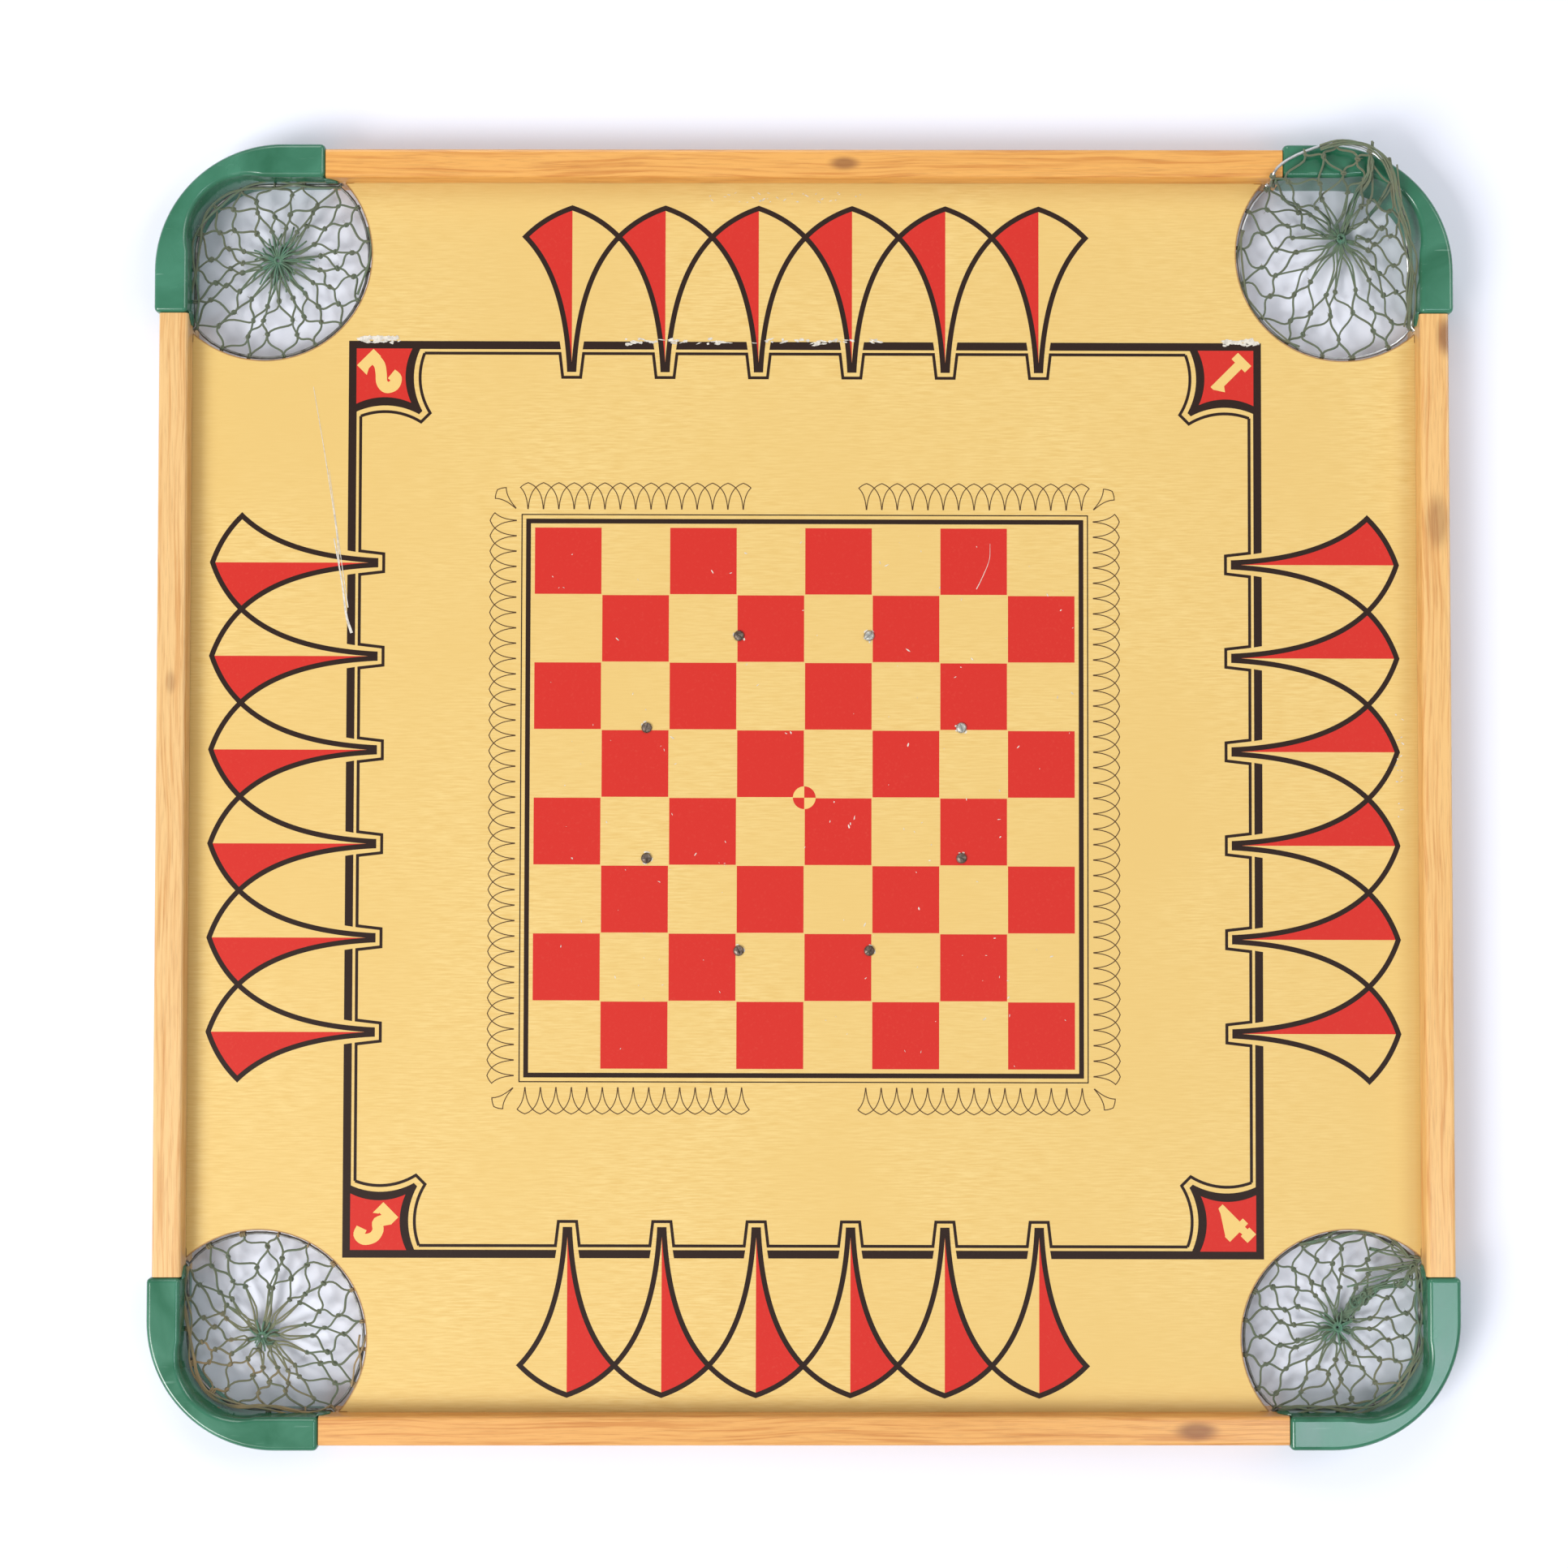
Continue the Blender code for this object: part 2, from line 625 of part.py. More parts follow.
# where each net's strands gather, in from the pocket's first and second outer face
GATHERS = ((56.0, 46.0), (59.0, 63.0), (58.0, 57.0), (62.0, 62.0))
for number, gather in enumerate(GATHERS, start=1):
    turn = (number - 1) * math.pi / 2
    spot = Matrix.Rotation(turn, 3, "Z") @ Vector((POCKET_FROM_MIDDLE, POCKET_FROM_MIDDLE, 0))
    bail = sprung if number == 1 else seated
    place(f"corner_{number}", corner, BOARD, PLASTIC, spot, turn)
    wire(f"net_hoop_{number}", hoop, BOARD, STEEL, (spot.x, spot.y, HOOP_Z), turn)
    wire(f"net_bail_{number}", bail, BOARD, STEEL, (spot.x, spot.y, BAIL_Z), turn)
    net = net_mesh(f"net_{number}", mouth(bail, hoop), gather)
    place(f"net_{number}", net, BOARD, TWINE, spot, turn)

    for leg in (0, 1):
        face = Vector((HALF - BRAD_SUNK, HALF - BRAD_ALONG, MID_Z))
        outward = Vector((1.0, 0.0, 0.0))
        if leg:
            face = Vector((face.y, face.x, face.z))
            outward = Vector((0.0, 1.0, 0.0))
        quarter = Matrix.Rotation(turn, 3, "Z")
        nail = place(f"corner_brad_{2 * number - 1 + leg}", brad, BOARD, BRAD_STEEL,
                     quarter @ face)
        nail.rotation_euler = (quarter @ outward).to_track_quat("Z", "Y").to_euler()

screw = screw_mesh()
sleeve = sleeve_mesh()
nut = nut_mesh()
for number, (x, y) in enumerate(bumper_spots(), start=1):
    slot_turn = number * 1.9
    place(f"bumper_screw_{number}", screw, BOARD, SCREW_STEEL, (x, y, 0), slot_turn)
    place(f"bumper_sleeve_{number}", sleeve, BOARD, RUBBER, (x, y, 0))
    place(f"bumper_nut_{number}", nut, BOARD, SCREW_STEEL, (x, y, 0), slot_turn / 2)
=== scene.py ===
"""Looks of the pocket game board: printed panel, pine rails, moulded corners, wires and nets.

Sizes are in millimetres and are turned into metres by MM. The frame's origin is the middle of
the footprint on the table, +Z is up, and pocket 1 is at +X +Y.
"""
import math
import random

import bmesh
import bpy
from bpy.props import (FloatProperty, FloatVectorProperty, IntProperty, PointerProperty)
from mathutils import Matrix, Vector
from mathutils.geometry import delaunay_2d_cdt
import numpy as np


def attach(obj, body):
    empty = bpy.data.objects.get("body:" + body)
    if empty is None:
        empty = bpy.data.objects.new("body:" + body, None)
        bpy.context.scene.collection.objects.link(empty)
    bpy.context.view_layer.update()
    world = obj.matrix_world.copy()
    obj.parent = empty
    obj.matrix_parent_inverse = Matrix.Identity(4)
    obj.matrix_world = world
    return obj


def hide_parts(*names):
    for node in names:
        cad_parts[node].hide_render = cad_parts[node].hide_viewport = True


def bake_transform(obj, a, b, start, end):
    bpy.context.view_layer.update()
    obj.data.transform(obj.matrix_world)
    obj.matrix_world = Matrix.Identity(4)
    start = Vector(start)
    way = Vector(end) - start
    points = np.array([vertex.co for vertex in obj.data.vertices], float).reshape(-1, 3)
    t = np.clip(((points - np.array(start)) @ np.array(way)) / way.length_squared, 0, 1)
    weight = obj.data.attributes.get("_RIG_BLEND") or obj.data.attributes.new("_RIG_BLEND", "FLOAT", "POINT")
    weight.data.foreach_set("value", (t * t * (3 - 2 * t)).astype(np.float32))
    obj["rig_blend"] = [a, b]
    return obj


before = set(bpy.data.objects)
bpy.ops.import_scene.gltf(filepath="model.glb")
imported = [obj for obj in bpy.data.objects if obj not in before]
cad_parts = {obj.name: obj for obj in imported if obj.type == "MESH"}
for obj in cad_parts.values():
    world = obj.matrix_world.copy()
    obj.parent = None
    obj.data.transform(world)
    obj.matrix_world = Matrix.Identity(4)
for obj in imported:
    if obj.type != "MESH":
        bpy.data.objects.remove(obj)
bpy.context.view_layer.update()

bl_info = {
    "name": "Pocket game board",
    "version": (1, 0, 0),
    "blender": (4, 5, 0),
    "location": "View3D > Sidebar > Game board",
    "description": "Builds the finish, print and nets of a square pocket game board",
    "category": "Object",
}

MM = 0.001

# ---------------------------------------------------------------- sizes shared with the frame

HALF = 355.6                   # middle to the corner pieces' outer faces
HEIGHT = 31.0
MID_Z = HEIGHT / 2
FACE_IN = 18.5                 # rail's inner face, in from the board's outer face
PANEL_TOP = 17.9
PANEL_FOOT = 13.1
EDGE_DIRT_AND_SHADE = (0.322, 0.338)     # metres from the middle where dirt and painted shade start, and are full
CORNER_LEG = 93.0
CORNER_OUTER_R = 70.0
CORNER_INNER_R = 41.0
CORNER_WALL_IN = 18.2
CORNER_ROUNDING = 2.6
LEAN_BACK = 4.5                # how far the inner wall's top leans back at the corner
APRON_REACH = 5.4              # the tongue past each leg, against the rail's inner wall
APRON_THICK = 0.6
APRON_TOP = 27.5
APRON_FOOT = 18.6
RAIL_SETBACK = 2.6
RAIL_WIDTH = 15.9
TENON_WIDTH = 8.0
TENON_DEPTH = 18.0
TENON_LENGTH = 22.0
GAP = 0.3
BRAD_ALONG = 82.0
BRAD_R = 0.75
BRAD_HEAD_R = 1.6
BRAD_SINK_DEPTH = 1.5
HOLE_IN = 58.0
HOLE_R = 59.0
BUMPER_CIRCLE_R = 93.5
SCREW_HEAD_R = 2.9

PIVOT_ALONG = 99.3
PIVOT_IN = (FACE_IN + PIVOT_ALONG) / 2
POCKET_FROM_MIDDLE = HALF - PIVOT_IN
PIN_STANDOFF = 1.6
BAIL_Z = 17.0
HOOP_Z = 14.0
HOOP_R = 57.0
BAIL_OFF_WALL = 1.5
WIRE_R = 0.8
# the sprung wire of pocket 1: in from the +X face, in from the +Y face, height
SPRUNG_BAIL = [(98.6, 20.2, 22.0), (99.4, 20.4, 28.0), (99.6, 18.6, 33.0), (97.2, 14.2, 34.6),
               (91.0, 9.6, 35.2), (82.0, 5.4, 35.6), (72.0, 2.2, 36.0), (62.0, 1.4, 36.0),
               (52.0, 3.0, 36.0), (43.0, 7.6, 35.8), (36.6, 14.6, 35.4), (32.8, 22.4, 35.0),
               (30.0, 31.0, 34.4), (27.6, 41.0, 32.6), (25.4, 53.0, 29.2), (23.6, 66.0, 24.8),
               (21.8, 80.0, 20.2)]

# the nets, by pocket: where each gathers (in from the faces), how far it twists on its way down,
# how tan its twine is, and its loose ends
GATHERS = ((56.0, 46.0), (59.0, 63.0), (58.0, 57.0), (62.0, 62.0))
NET_SWIRLS = (0.03, 0.05, -0.03, 0.04)
NET_TANS = (0.15, 0.1, 1.0, 0.2)
LOOSE_ENDS = (4, 26, 12, 14)
LOOSE_END_REACH = ((3, 6), (10, 21), (5, 10), (6, 13))
NET_ROWS = (0.0, 0.19, 0.38, 0.55)      # depths of the knots: 0 at the rim, 1 at the gather
NET_LOW_Z = 3.6
NET_LAID_Z = HEIGHT + 1.2               # where a net lies over its corner piece
NET_BLEND_REACH = 27.0                  # from a bail's hinge line to where its net rides with it
# cords that run along the wires: start and end as shares of the mouth, strands, spread
LASHINGS = (((0.49, 0.86, 4, 0.9), (0.50, 0.74, 2, 3.4), (0.08, 0.30, 2, 1.0),
             (0.95, 1.0, 2, 1.0)),
            ((0.56, 1.0, 3, 1.2), (0.34, 0.46, 2, 1.2)),
            ((0.56, 1.0, 4, 1.4), (0.05, 0.14, 2, 1.2)),
            ((0.02, 0.22, 3, 1.8), (0.56, 1.0, 4, 1.6)))
# bunched strands, as steps away from the gather: way, strands, spread, curls
BUNCHES = (
    (([(0.0, 0.0, 1.5), (1.5, 6.0, 6.0), (4.5, 20.0, 20.0), (8.0, 26.0, 33.5), (9.5, 36.0, 34.0),
       (10.7, 46.0, 35.5)], 6, 1.5, 0),
     ([(14.0, 10.0, 8.0), (19.0, 18.0, 20.0), (21.5, 26.0, 33.5), (20.0, 37.0, 34.5)], 3, 1.2, 0)),
    (),
    (),
    (([(0.0, 0.0, 1.5), (-8.0, 6.5, 4.0), (-15.2, 12.5, 6.0), (-21.4, 18.7, 8.0)], 9, 2.4, 8),
     ([(-6.0, 5.0, 2.5), (-15.2, 12.5, 6.0), (-21.4, 18.7, 8.0), (-25.9, 34.8, 13.0),
       (-31.2, 37.5, 15.0), (-38.6, 46.8, 16.0)], 7, 1.3, 12),
     ([(-43.7, 17.0, 9.0), (-41.0, 32.0, 13.0), (-38.8, 46.6, 16.0)], 2, 0.8, 0),
     ([(-31.2, 9.8, 6.0), (-34.0, 28.0, 11.0), (-38.8, 46.6, 16.0)], 2, 0.8, 0),
     ([(-22.0, 6.0, 5.0), (-29.0, 26.0, 10.0), (-38.0, 46.0, 16.0)], 2, 1.0, 0)))

# ---------------------------------------------------------------- the print, from its middle

PRINT_TURN = math.radians(-0.1165)      # the sheet was printed a little askew
PRINT_SHIFT = Vector((0.13, -2.62))
INK_FOOT = 0.02                         # above the panel's face, to keep the faces apart
RED_TOP = 0.05
BLACK_TOP = 0.08
FIELD_TOP = 0.10
YELLOW_TOP = 0.12
CHIP_TOP = 0.14

BORDER_HALF = 251.5
BAND_WIDTH = 4.4
FINE_LINE = 1.6
FINE_LINE_IN = 6.7                      # middle of the fine line, in from the border's edge
FINE_LINE_TURN = 41.7                   # where it turns off round a corner box, in from the edge
BOX_MIDDLE = 17.6                       # a numeral's middle, in from both edges
PETALS = 6
PETAL_PITCH = 51.5
PETAL_APEX = 325.7
PETAL_NECK_END = 234.6
PETAL_NECK_HALF = 1.15
PETAL_LINE = 2.8
RED_END = 240.0
NECK_GAP = (6.7, 6.0)                   # half gap in the band at its outer and inner edge
TAB = (6.5, 4.95, 13.2)                 # half width at the fine line, at its end, and depth

CELL = 37.18
CELLS = 8
SQUARE_INSET = 0.3
CHECKER_HALF = CELL * CELLS / 2
CHECKER_BAND = (2.0, 4.6)
CHECKER_LINE_OUT = 6.6
CHECKER_LINE = 0.6
ROUNDEL_R = 6.25

FAN_PITCH = 8.46
FAN_LINE = 0.5
FAN_TIP_OUT = 9.7                       # fans' points, out from the checkerboard's edge
FANS_SIDE = 37
FANS_HALF_ROW = 15
FAN_ROW_GAP = 29.7

# the reverse face's rings, as radius and line width: outer, middle, bumper circle, centre
REVERSE_RINGS = ((300.0, 2.4), (200.0, 2.4), (BUMPER_CIRCLE_R, 1.6), (12.0, 1.6))
REVERSE_RED_RING = 306.0
REVERSE_SPOT_R = 9.0

# ---------------------------------------------------------------- wear, in print millimetres

RUBBED_STEP = 1.1
RUBBED_EDGES = ((-247.0, -223.0, 252.4), (231.0, 250.0, 252.0), (-99.0, 41.0, 251.8))
BARE_EDGES = ((-247.0, -224.0, 252.8), (232.0, 250.0, 252.4))
SCUFFS = (((-54.0, 31.0), (329.0, 335.0), 30), ((325.0, 329.0), (-11.0, 47.0), 16))
SPECKS = 130
SPECK_REACH = 148
# a long pair of cuts at the upper left, and a hooked one on a red square
SCRATCHES = ((((-271, 226), (-264, 186), (-258, 148), (-256, 128)), 0.9),
             (((-259, 142), (-254.5, 118), (-252, 100), (-249, 90)), 2.2),
             (((-262, 180), (-255.5, 134), (-251, 104)), 0.7),
             (((102, 140), (101.5, 131), (97.5, 121), (94.5, 115)), 0.6))

# ---------------------------------------------------------------- lights and camera

# name, place in metres, side of its square, watts, what it aims at, colour
LIGHTS = (("key", (-2.4, -1.9, 3.0), 1.9, 148.0, (0.0, 0.0, 0.0), (1.0, 1.0, 1.0)),
          ("fill_right", (2.2, 0.9, 2.3), 1.4, 22.0, (0.0, 0.0, 0.0), (1.0, 1.0, 1.0)),
          ("fill_back", (-0.4, 2.4, 2.3), 1.4, 24.0, (0.0, 0.0, 0.0), (1.0, 1.0, 1.0)),
          ("gloss", (0.91, -0.82, 2.4), 0.54, 6.0, (0.3, -0.3, 0.0), (0.78, 0.90, 1.0)))
SKY_STRENGTH = 0.42
FLOOR_HALF = 4.0                        # metres
CAMERA_LENS = 57.03
CAMERA_SENSOR = 36.0
CAMERA_PLACE = (-14.24, -36.54, 1380.45)
CAMERA_TURN = (0.03042, -0.0024, 0.00032)


# ---------------------------------------------------------------- colour and nodes

def linear(code):
    """An sRGB hex colour as linear red, green, blue and alpha."""
    parts = [int(code[place:place + 2], 16) / 255 for place in (1, 3, 5)]
    return (*[part / 12.92 if part <= 0.04045 else ((part + 0.055) / 1.055) ** 2.4
              for part in parts], 1.0)


def add_node(tree, kind, links=None, **settings):
    """Add a node, set its properties, then set or link its inputs by name or number."""
    node = tree.nodes.new(kind)
    for key, value in settings.items():
        setattr(node, key, value)
    for socket, value in (links or {}).items():
        if isinstance(value, bpy.types.NodeSocket):
            tree.links.new(value, node.inputs[socket])
        else:
            node.inputs[socket].default_value = value
    return node


def new_material(name, **sockets):
    """A material whose Principled shader has these constant socket values."""
    mat = bpy.data.materials.new(name)
    mat.use_nodes = True
    shader = mat.node_tree.nodes["Principled BSDF"]
    for key, value in sockets.items():
        shader.inputs[key.replace("_", " ")].default_value = value
    return mat, mat.node_tree, shader


def use(tree, shader, **sockets):
    """Link outputs to the shader's sockets."""
    for key, output in sockets.items():
        tree.links.new(output, shader.inputs[key.replace("_", " ")])


def object_place(tree):
    """Object coordinates: every piece's origin is the board's, so these are the board's metres."""
    return add_node(tree, "ShaderNodeTexCoord").outputs["Object"]


def mapped(tree, place, **sockets):
    """Coordinates turned, moved or scaled."""
    return add_node(tree, "ShaderNodeMapping", {"Vector": place, **sockets}).outputs[0]


def noise(tree, place, grain_mm, output="Fac", **sockets):
    """Noise with grains of about this many millimetres."""
    return add_node(tree, "ShaderNodeTexNoise",
                    {"Vector": place, "Scale": 1000 / grain_mm, **sockets}).outputs[output]


def remap(tree, value, low=0.0, high=1.0, start=0.0, end=1.0, smooth=False):
    """A value's run from low to high, laid over start to end and held beyond them."""
    return add_node(tree, "ShaderNodeMapRange",
                    {"Value": value, "From Min": low, "From Max": high,
                     "To Min": start, "To Max": end},
                    interpolation_type="SMOOTHSTEP" if smooth else "LINEAR").outputs[0]


def mix(tree, share, first, second, mode="MIX"):
    """A colour between two, each of them a hex code, a colour or an output."""
    first, second = (linear(item) if isinstance(item, str) else item for item in (first, second))
    return add_node(tree, "ShaderNodeMix", {0: share, 6: first, 7: second}, data_type="RGBA",
                    blend_type=mode).outputs[2]


def number_math(tree, operation, *values):
    return add_node(tree, "ShaderNodeMath", dict(enumerate(values)),
                    operation=operation).outputs[0]


def vector_math(tree, operation, *values):
    node = add_node(tree, "ShaderNodeVectorMath", dict(enumerate(values)), operation=operation)
    return node.outputs["Value" if operation in ("LENGTH", "DISTANCE") else "Vector"]


def axis_of(tree, vector, axis):
    return add_node(tree, "ShaderNodeSeparateXYZ", {0: vector}).outputs[axis]


def bumped(tree, height, distance, strength):
    """A normal bent by a height, whose full range is distance in metres."""
    return add_node(tree, "ShaderNodeBump", {"Height": height, "Distance": distance,
                                             "Strength": strength}).outputs[0]


# ---------------------------------------------------------------- meshes

def mesh_of(name, form):
    """A mesh made of a bmesh, which is freed."""
    mesh = bpy.data.meshes.new(name)
    form.to_mesh(mesh)
    form.free()
    return mesh


def add_object(name, data):
    item = bpy.data.objects.new(name, data)
    bpy.context.scene.collection.objects.link(item)
    return item


def finish_piece(name, form, materials, smooth_degrees=None):
    """Turn a bmesh in metres into a piece at the origin, with these materials."""
    mesh = mesh_of(name, form)
    for mat in materials:
        mesh.materials.append(mat)
    if smooth_degrees is not None:
        mesh.shade_smooth()
        mesh.set_sharp_from_angle(angle=math.radians(smooth_degrees))
    piece = add_object(name, mesh)
    return piece


def raise_faces(form, faces, rise):
    """Turn flat faces into a solid that stands on them, rise in millimetres."""
    raised = bmesh.ops.extrude_face_region(form, geom=faces, use_keep_orig=True)["geom"]
    bmesh.ops.translate(form, vec=(0, 0, rise * MM),
                        verts=[item for item in raised if isinstance(item, bmesh.types.BMVert)])


def arc(centre, radius, start, end, steps):
    """Points along an arc, angles in degrees, both ends included."""
    angles = [math.radians(start + (end - start) * k / steps) for k in range(steps + 1)]
    return [Vector((centre[0] + radius * math.cos(angle), centre[1] + radius * math.sin(angle)))
            for angle in angles]


def circle(radius):
    """A closed ring of points about the origin, the first one given once."""
    return arc((0, 0), radius, 0, 357.5, 143)


def arc_through(a, b, c, steps):
    """Points along the circle from a to c by way of b."""
    a, b, c = Vector(a), Vector(b), Vector(c)
    turn = 2 * (a.x * (b.y - c.y) + b.x * (c.y - a.y) + c.x * (a.y - b.y))
    squares = [p.length_squared for p in (a, b, c)]
    centre = Vector((
        (squares[0] * (b.y - c.y) + squares[1] * (c.y - a.y) + squares[2] * (a.y - b.y)) / turn,
        (squares[0] * (c.x - b.x) + squares[1] * (a.x - c.x) + squares[2] * (b.x - a.x)) / turn))
    first = a - centre
    sweep = first.angle_signed(b - centre) + (b - centre).angle_signed(c - centre)
    return [centre + Matrix.Rotation(-sweep * k / steps, 2) @ first for k in range(steps + 1)]


def bezier(a, b, c, d, steps):
    """Points along a cubic curve, both ends included."""
    points = []
    for k in range(steps + 1):
        t = k / steps
        s = 1 - t
        points.append(s ** 3 * a + 3 * s * s * t * b + 3 * s * t * t * c + t ** 3 * d)
    return points


def smooth_route(points, steps):
    """A Catmull-Rom curve through points, with the given steps from one to the next."""
    spots = [Vector(point) for point in points]
    spots = [2 * spots[0] - spots[1]] + spots + [2 * spots[-1] - spots[-2]]
    route = []
    for a, b, c, d in zip(spots, spots[1:], spots[2:], spots[3:]):
        for step in range(steps):
            t = step / steps
            route.append(0.5 * (2 * b + (c - a) * t + (2 * a - 5 * b + 4 * c - d) * t ** 2
                                + (3 * b - a - 3 * c + d) * t ** 3))
    return route + [spots[-2]]


def stroke(points, width, closed=False, ends=(1.0, 1.0)):
    """A line of some width as four-sided patches, mitred where it turns.

    ends scales the width at the first and the last point, for a line that tapers.
    """
    points = [Vector(point) for point in points]
    count = len(points)
    sides = []
    for k, point in enumerate(points):
        before = points[k - 1] if closed or k else None
        after = points[(k + 1) % count] if closed or k < count - 1 else None
        runs = [(b - a).normalized() for a, b in ((before, point), (point, after))
                if a is not None and b is not None and (b - a).length > 1e-6]
        normals = [Vector((-run.y, run.x)) for run in runs]
        middle = sum(normals, Vector((0, 0))).normalized()
        share = k / (count - 1)
        reach = width / 2 * (ends[0] + (ends[1] - ends[0]) * share)
        reach /= max(0.35, middle.dot(normals[0]))
        sides.append((point + middle * reach, point - middle * reach))
    if closed:
        sides.append(sides[0])
    return [[a[0], a[1], b[1], b[0]] for a, b in zip(sides, sides[1:])]


def turned_by(polygons, quarter):
    """Polygons turned by quarter turns about the print's middle."""
    turn = Matrix.Rotation(quarter * math.pi / 2, 2)
    return [[turn @ Vector(point) for point in polygon] for polygon in polygons]


def moved(polygons, shift, degrees=0.0):
    """Polygons turned by degrees about their origin, then moved."""
    turn = Matrix.Rotation(math.radians(degrees), 2)
    return [[turn @ Vector(point) + Vector(shift) for point in polygon] for polygon in polygons]


def anticlockwise(polygon):
    area = sum(a.x * b.y - b.x * a.y for a, b in zip(polygon, polygon[1:] + polygon[:1]))
    return polygon if area > 0 else polygon[::-1]


def ink_layer(name, polygons, foot, top, materials, askew=True):
    """Overlapping flat polygons in millimetres, merged into one thin closed film."""
    spots, faces = [], []
    turn = Matrix.Rotation(PRINT_TURN, 2)
    for polygon in polygons:
        polygon = anticlockwise([Vector(point) for point in polygon])
        faces.append(list(range(len(spots), len(spots) + len(polygon))))
        spots += [turn @ point + PRINT_SHIFT for point in polygon] if askew else polygon
    verts, _, faces, _, _, sources = delaunay_2d_cdt(spots, [], faces, 1, 1e-4)
    form = bmesh.new()
    corners = [form.verts.new((spot.x * MM, spot.y * MM, foot * MM)) for spot in verts]
    for face, source in zip(faces, sources):
        if source:
            form.faces.new([corners[index] for index in face])
    bmesh.ops.delete(form, geom=[v for v in form.verts if not v.link_faces], context="VERTS")
    bmesh.ops.recalc_face_normals(form, faces=form.faces)
    raise_faces(form, form.faces[:], top - foot)
    bmesh.ops.recalc_face_normals(form, faces=form.faces)
    return finish_piece(name, form, materials)


def tube(form, points, radius, sides=6, closed=False, fade=0.0, tan=0.0):
    """Add a round strand through points in millimetres, with its own UV map in millimetres."""
    uv = form.loops.layers.uv["strand"]
    fades = form.verts.layers.float["fade"]
    tans = form.verts.layers.float["tan"]
    points = [Vector(point) for point in points]
    count = len(points)
    rings, along = [], [0.0]
    across = None
    for k, point in enumerate(points):
        if closed:
            run = points[(k + 1) % count] - points[k - 1]
        else:
            run = points[min(k + 1, count - 1)] - points[max(k - 1, 0)]
        run.normalize()
        if across is None:
            across = run.orthogonal().normalized()
        across = (across - run * across.dot(run)).normalized()
        other = run.cross(across)
        size = radius(k / (count - 1)) if callable(radius) else radius
        ring = []
        for side in range(sides):
            angle = 2 * math.pi * side / sides
            spot = point + (across * math.cos(angle) + other * math.sin(angle)) * size
            vert = form.verts.new(spot * MM)
            vert[fades] = fade(k / (count - 1)) if callable(fade) else fade
            vert[tans] = tan
            ring.append(vert)
        rings.append(ring)
        if k:
            along.append(along[-1] + (point - points[k - 1]).length)
    pairs = list(zip(rings, rings[1:], along, along[1:]))
    if closed:
        # the frame may come round turned, so the last ring joins the first at the nearest turn
        start = min(range(sides), key=lambda s: (rings[0][s].co - rings[-1][0].co).length)
        first = rings[0][start:] + rings[0][:start]
        pairs.append((rings[-1], first, along[-1], along[-1] + (points[0] - points[-1]).length))
    round_length = 2 * math.pi * (radius(0.5) if callable(radius) else radius)
    for ring, following, low, high in pairs:
        for side in range(sides):
            nxt = (side + 1) % sides
            face = form.faces.new((ring[side], ring[nxt], following[nxt], following[side]))
            face.smooth = True
            left, right = side / sides * round_length, (side + 1) / sides * round_length
            spots = ((left, low), (right, low), (right, high), (left, high))
            for loop, spot in zip(face.loops, spots):
                loop[uv].uv = spot
    if not closed:
        form.faces.new(rings[0][::-1])
        form.faces.new(rings[-1])


# ---------------------------------------------------------------- artwork

def lancet(pitch, apex, tip, neck_half, steps):
    """Half of a pointed petal: apex to crossing, and crossing to neck, both at u >= 0.

    One smooth curve runs from a petal's apex through the crossing to the next petal's neck.
    """
    height = apex - tip
    start = Vector((0.0, apex))
    end = Vector((pitch - neck_half, tip + height * 0.01))
    leave, arrive = math.radians(-19), math.radians(3)
    first = start + pitch * 0.70 * Vector((math.cos(leave), math.sin(leave)))
    second = end + pitch * 0.913 * Vector((-math.sin(arrive), math.cos(arrive)))
    curve = bezier(start, first, second, end, steps)
    # the crossing lies half a pitch along
    crossing = next(k for k, point in enumerate(curve) if point.x >= pitch / 2)
    a, b = curve[crossing - 1], curve[crossing]
    share = (pitch / 2 - a.x) / (b.x - a.x)
    cross = a.lerp(b, share)
    top = curve[:crossing] + [cross]
    side = [Vector((pitch - point.x, point.y)) for point in [cross] + curve[crossing:]]
    return top, side


def mirrored(points):
    return [Vector((-point.x, point.y)) for point in points]


def petal_polygons():
    """One petal of the top side about u = 0: its lines, and its red half."""
    top, side = lancet(PETAL_PITCH, PETAL_APEX, PETAL_NECK_END, PETAL_NECK_HALF, 36)
    outline = mirrored(side)[::-1] + mirrored(top)[::-1][1:] + top[1:] + side[1:]
    lines = stroke(outline, PETAL_LINE)
    # the neck closes into a solid foot
    foot_half = PETAL_NECK_HALF + PETAL_LINE / 2
    lines.append([(-foot_half, PETAL_NECK_END), (foot_half, PETAL_NECK_END),
                  (foot_half + 0.15, RED_END), (-foot_half - 0.15, RED_END)])
    half = [point for point in mirrored(top) + mirrored(side)[1:] if point.y > RED_END]
    red = half + [Vector((0.0, RED_END))]
    return lines, red


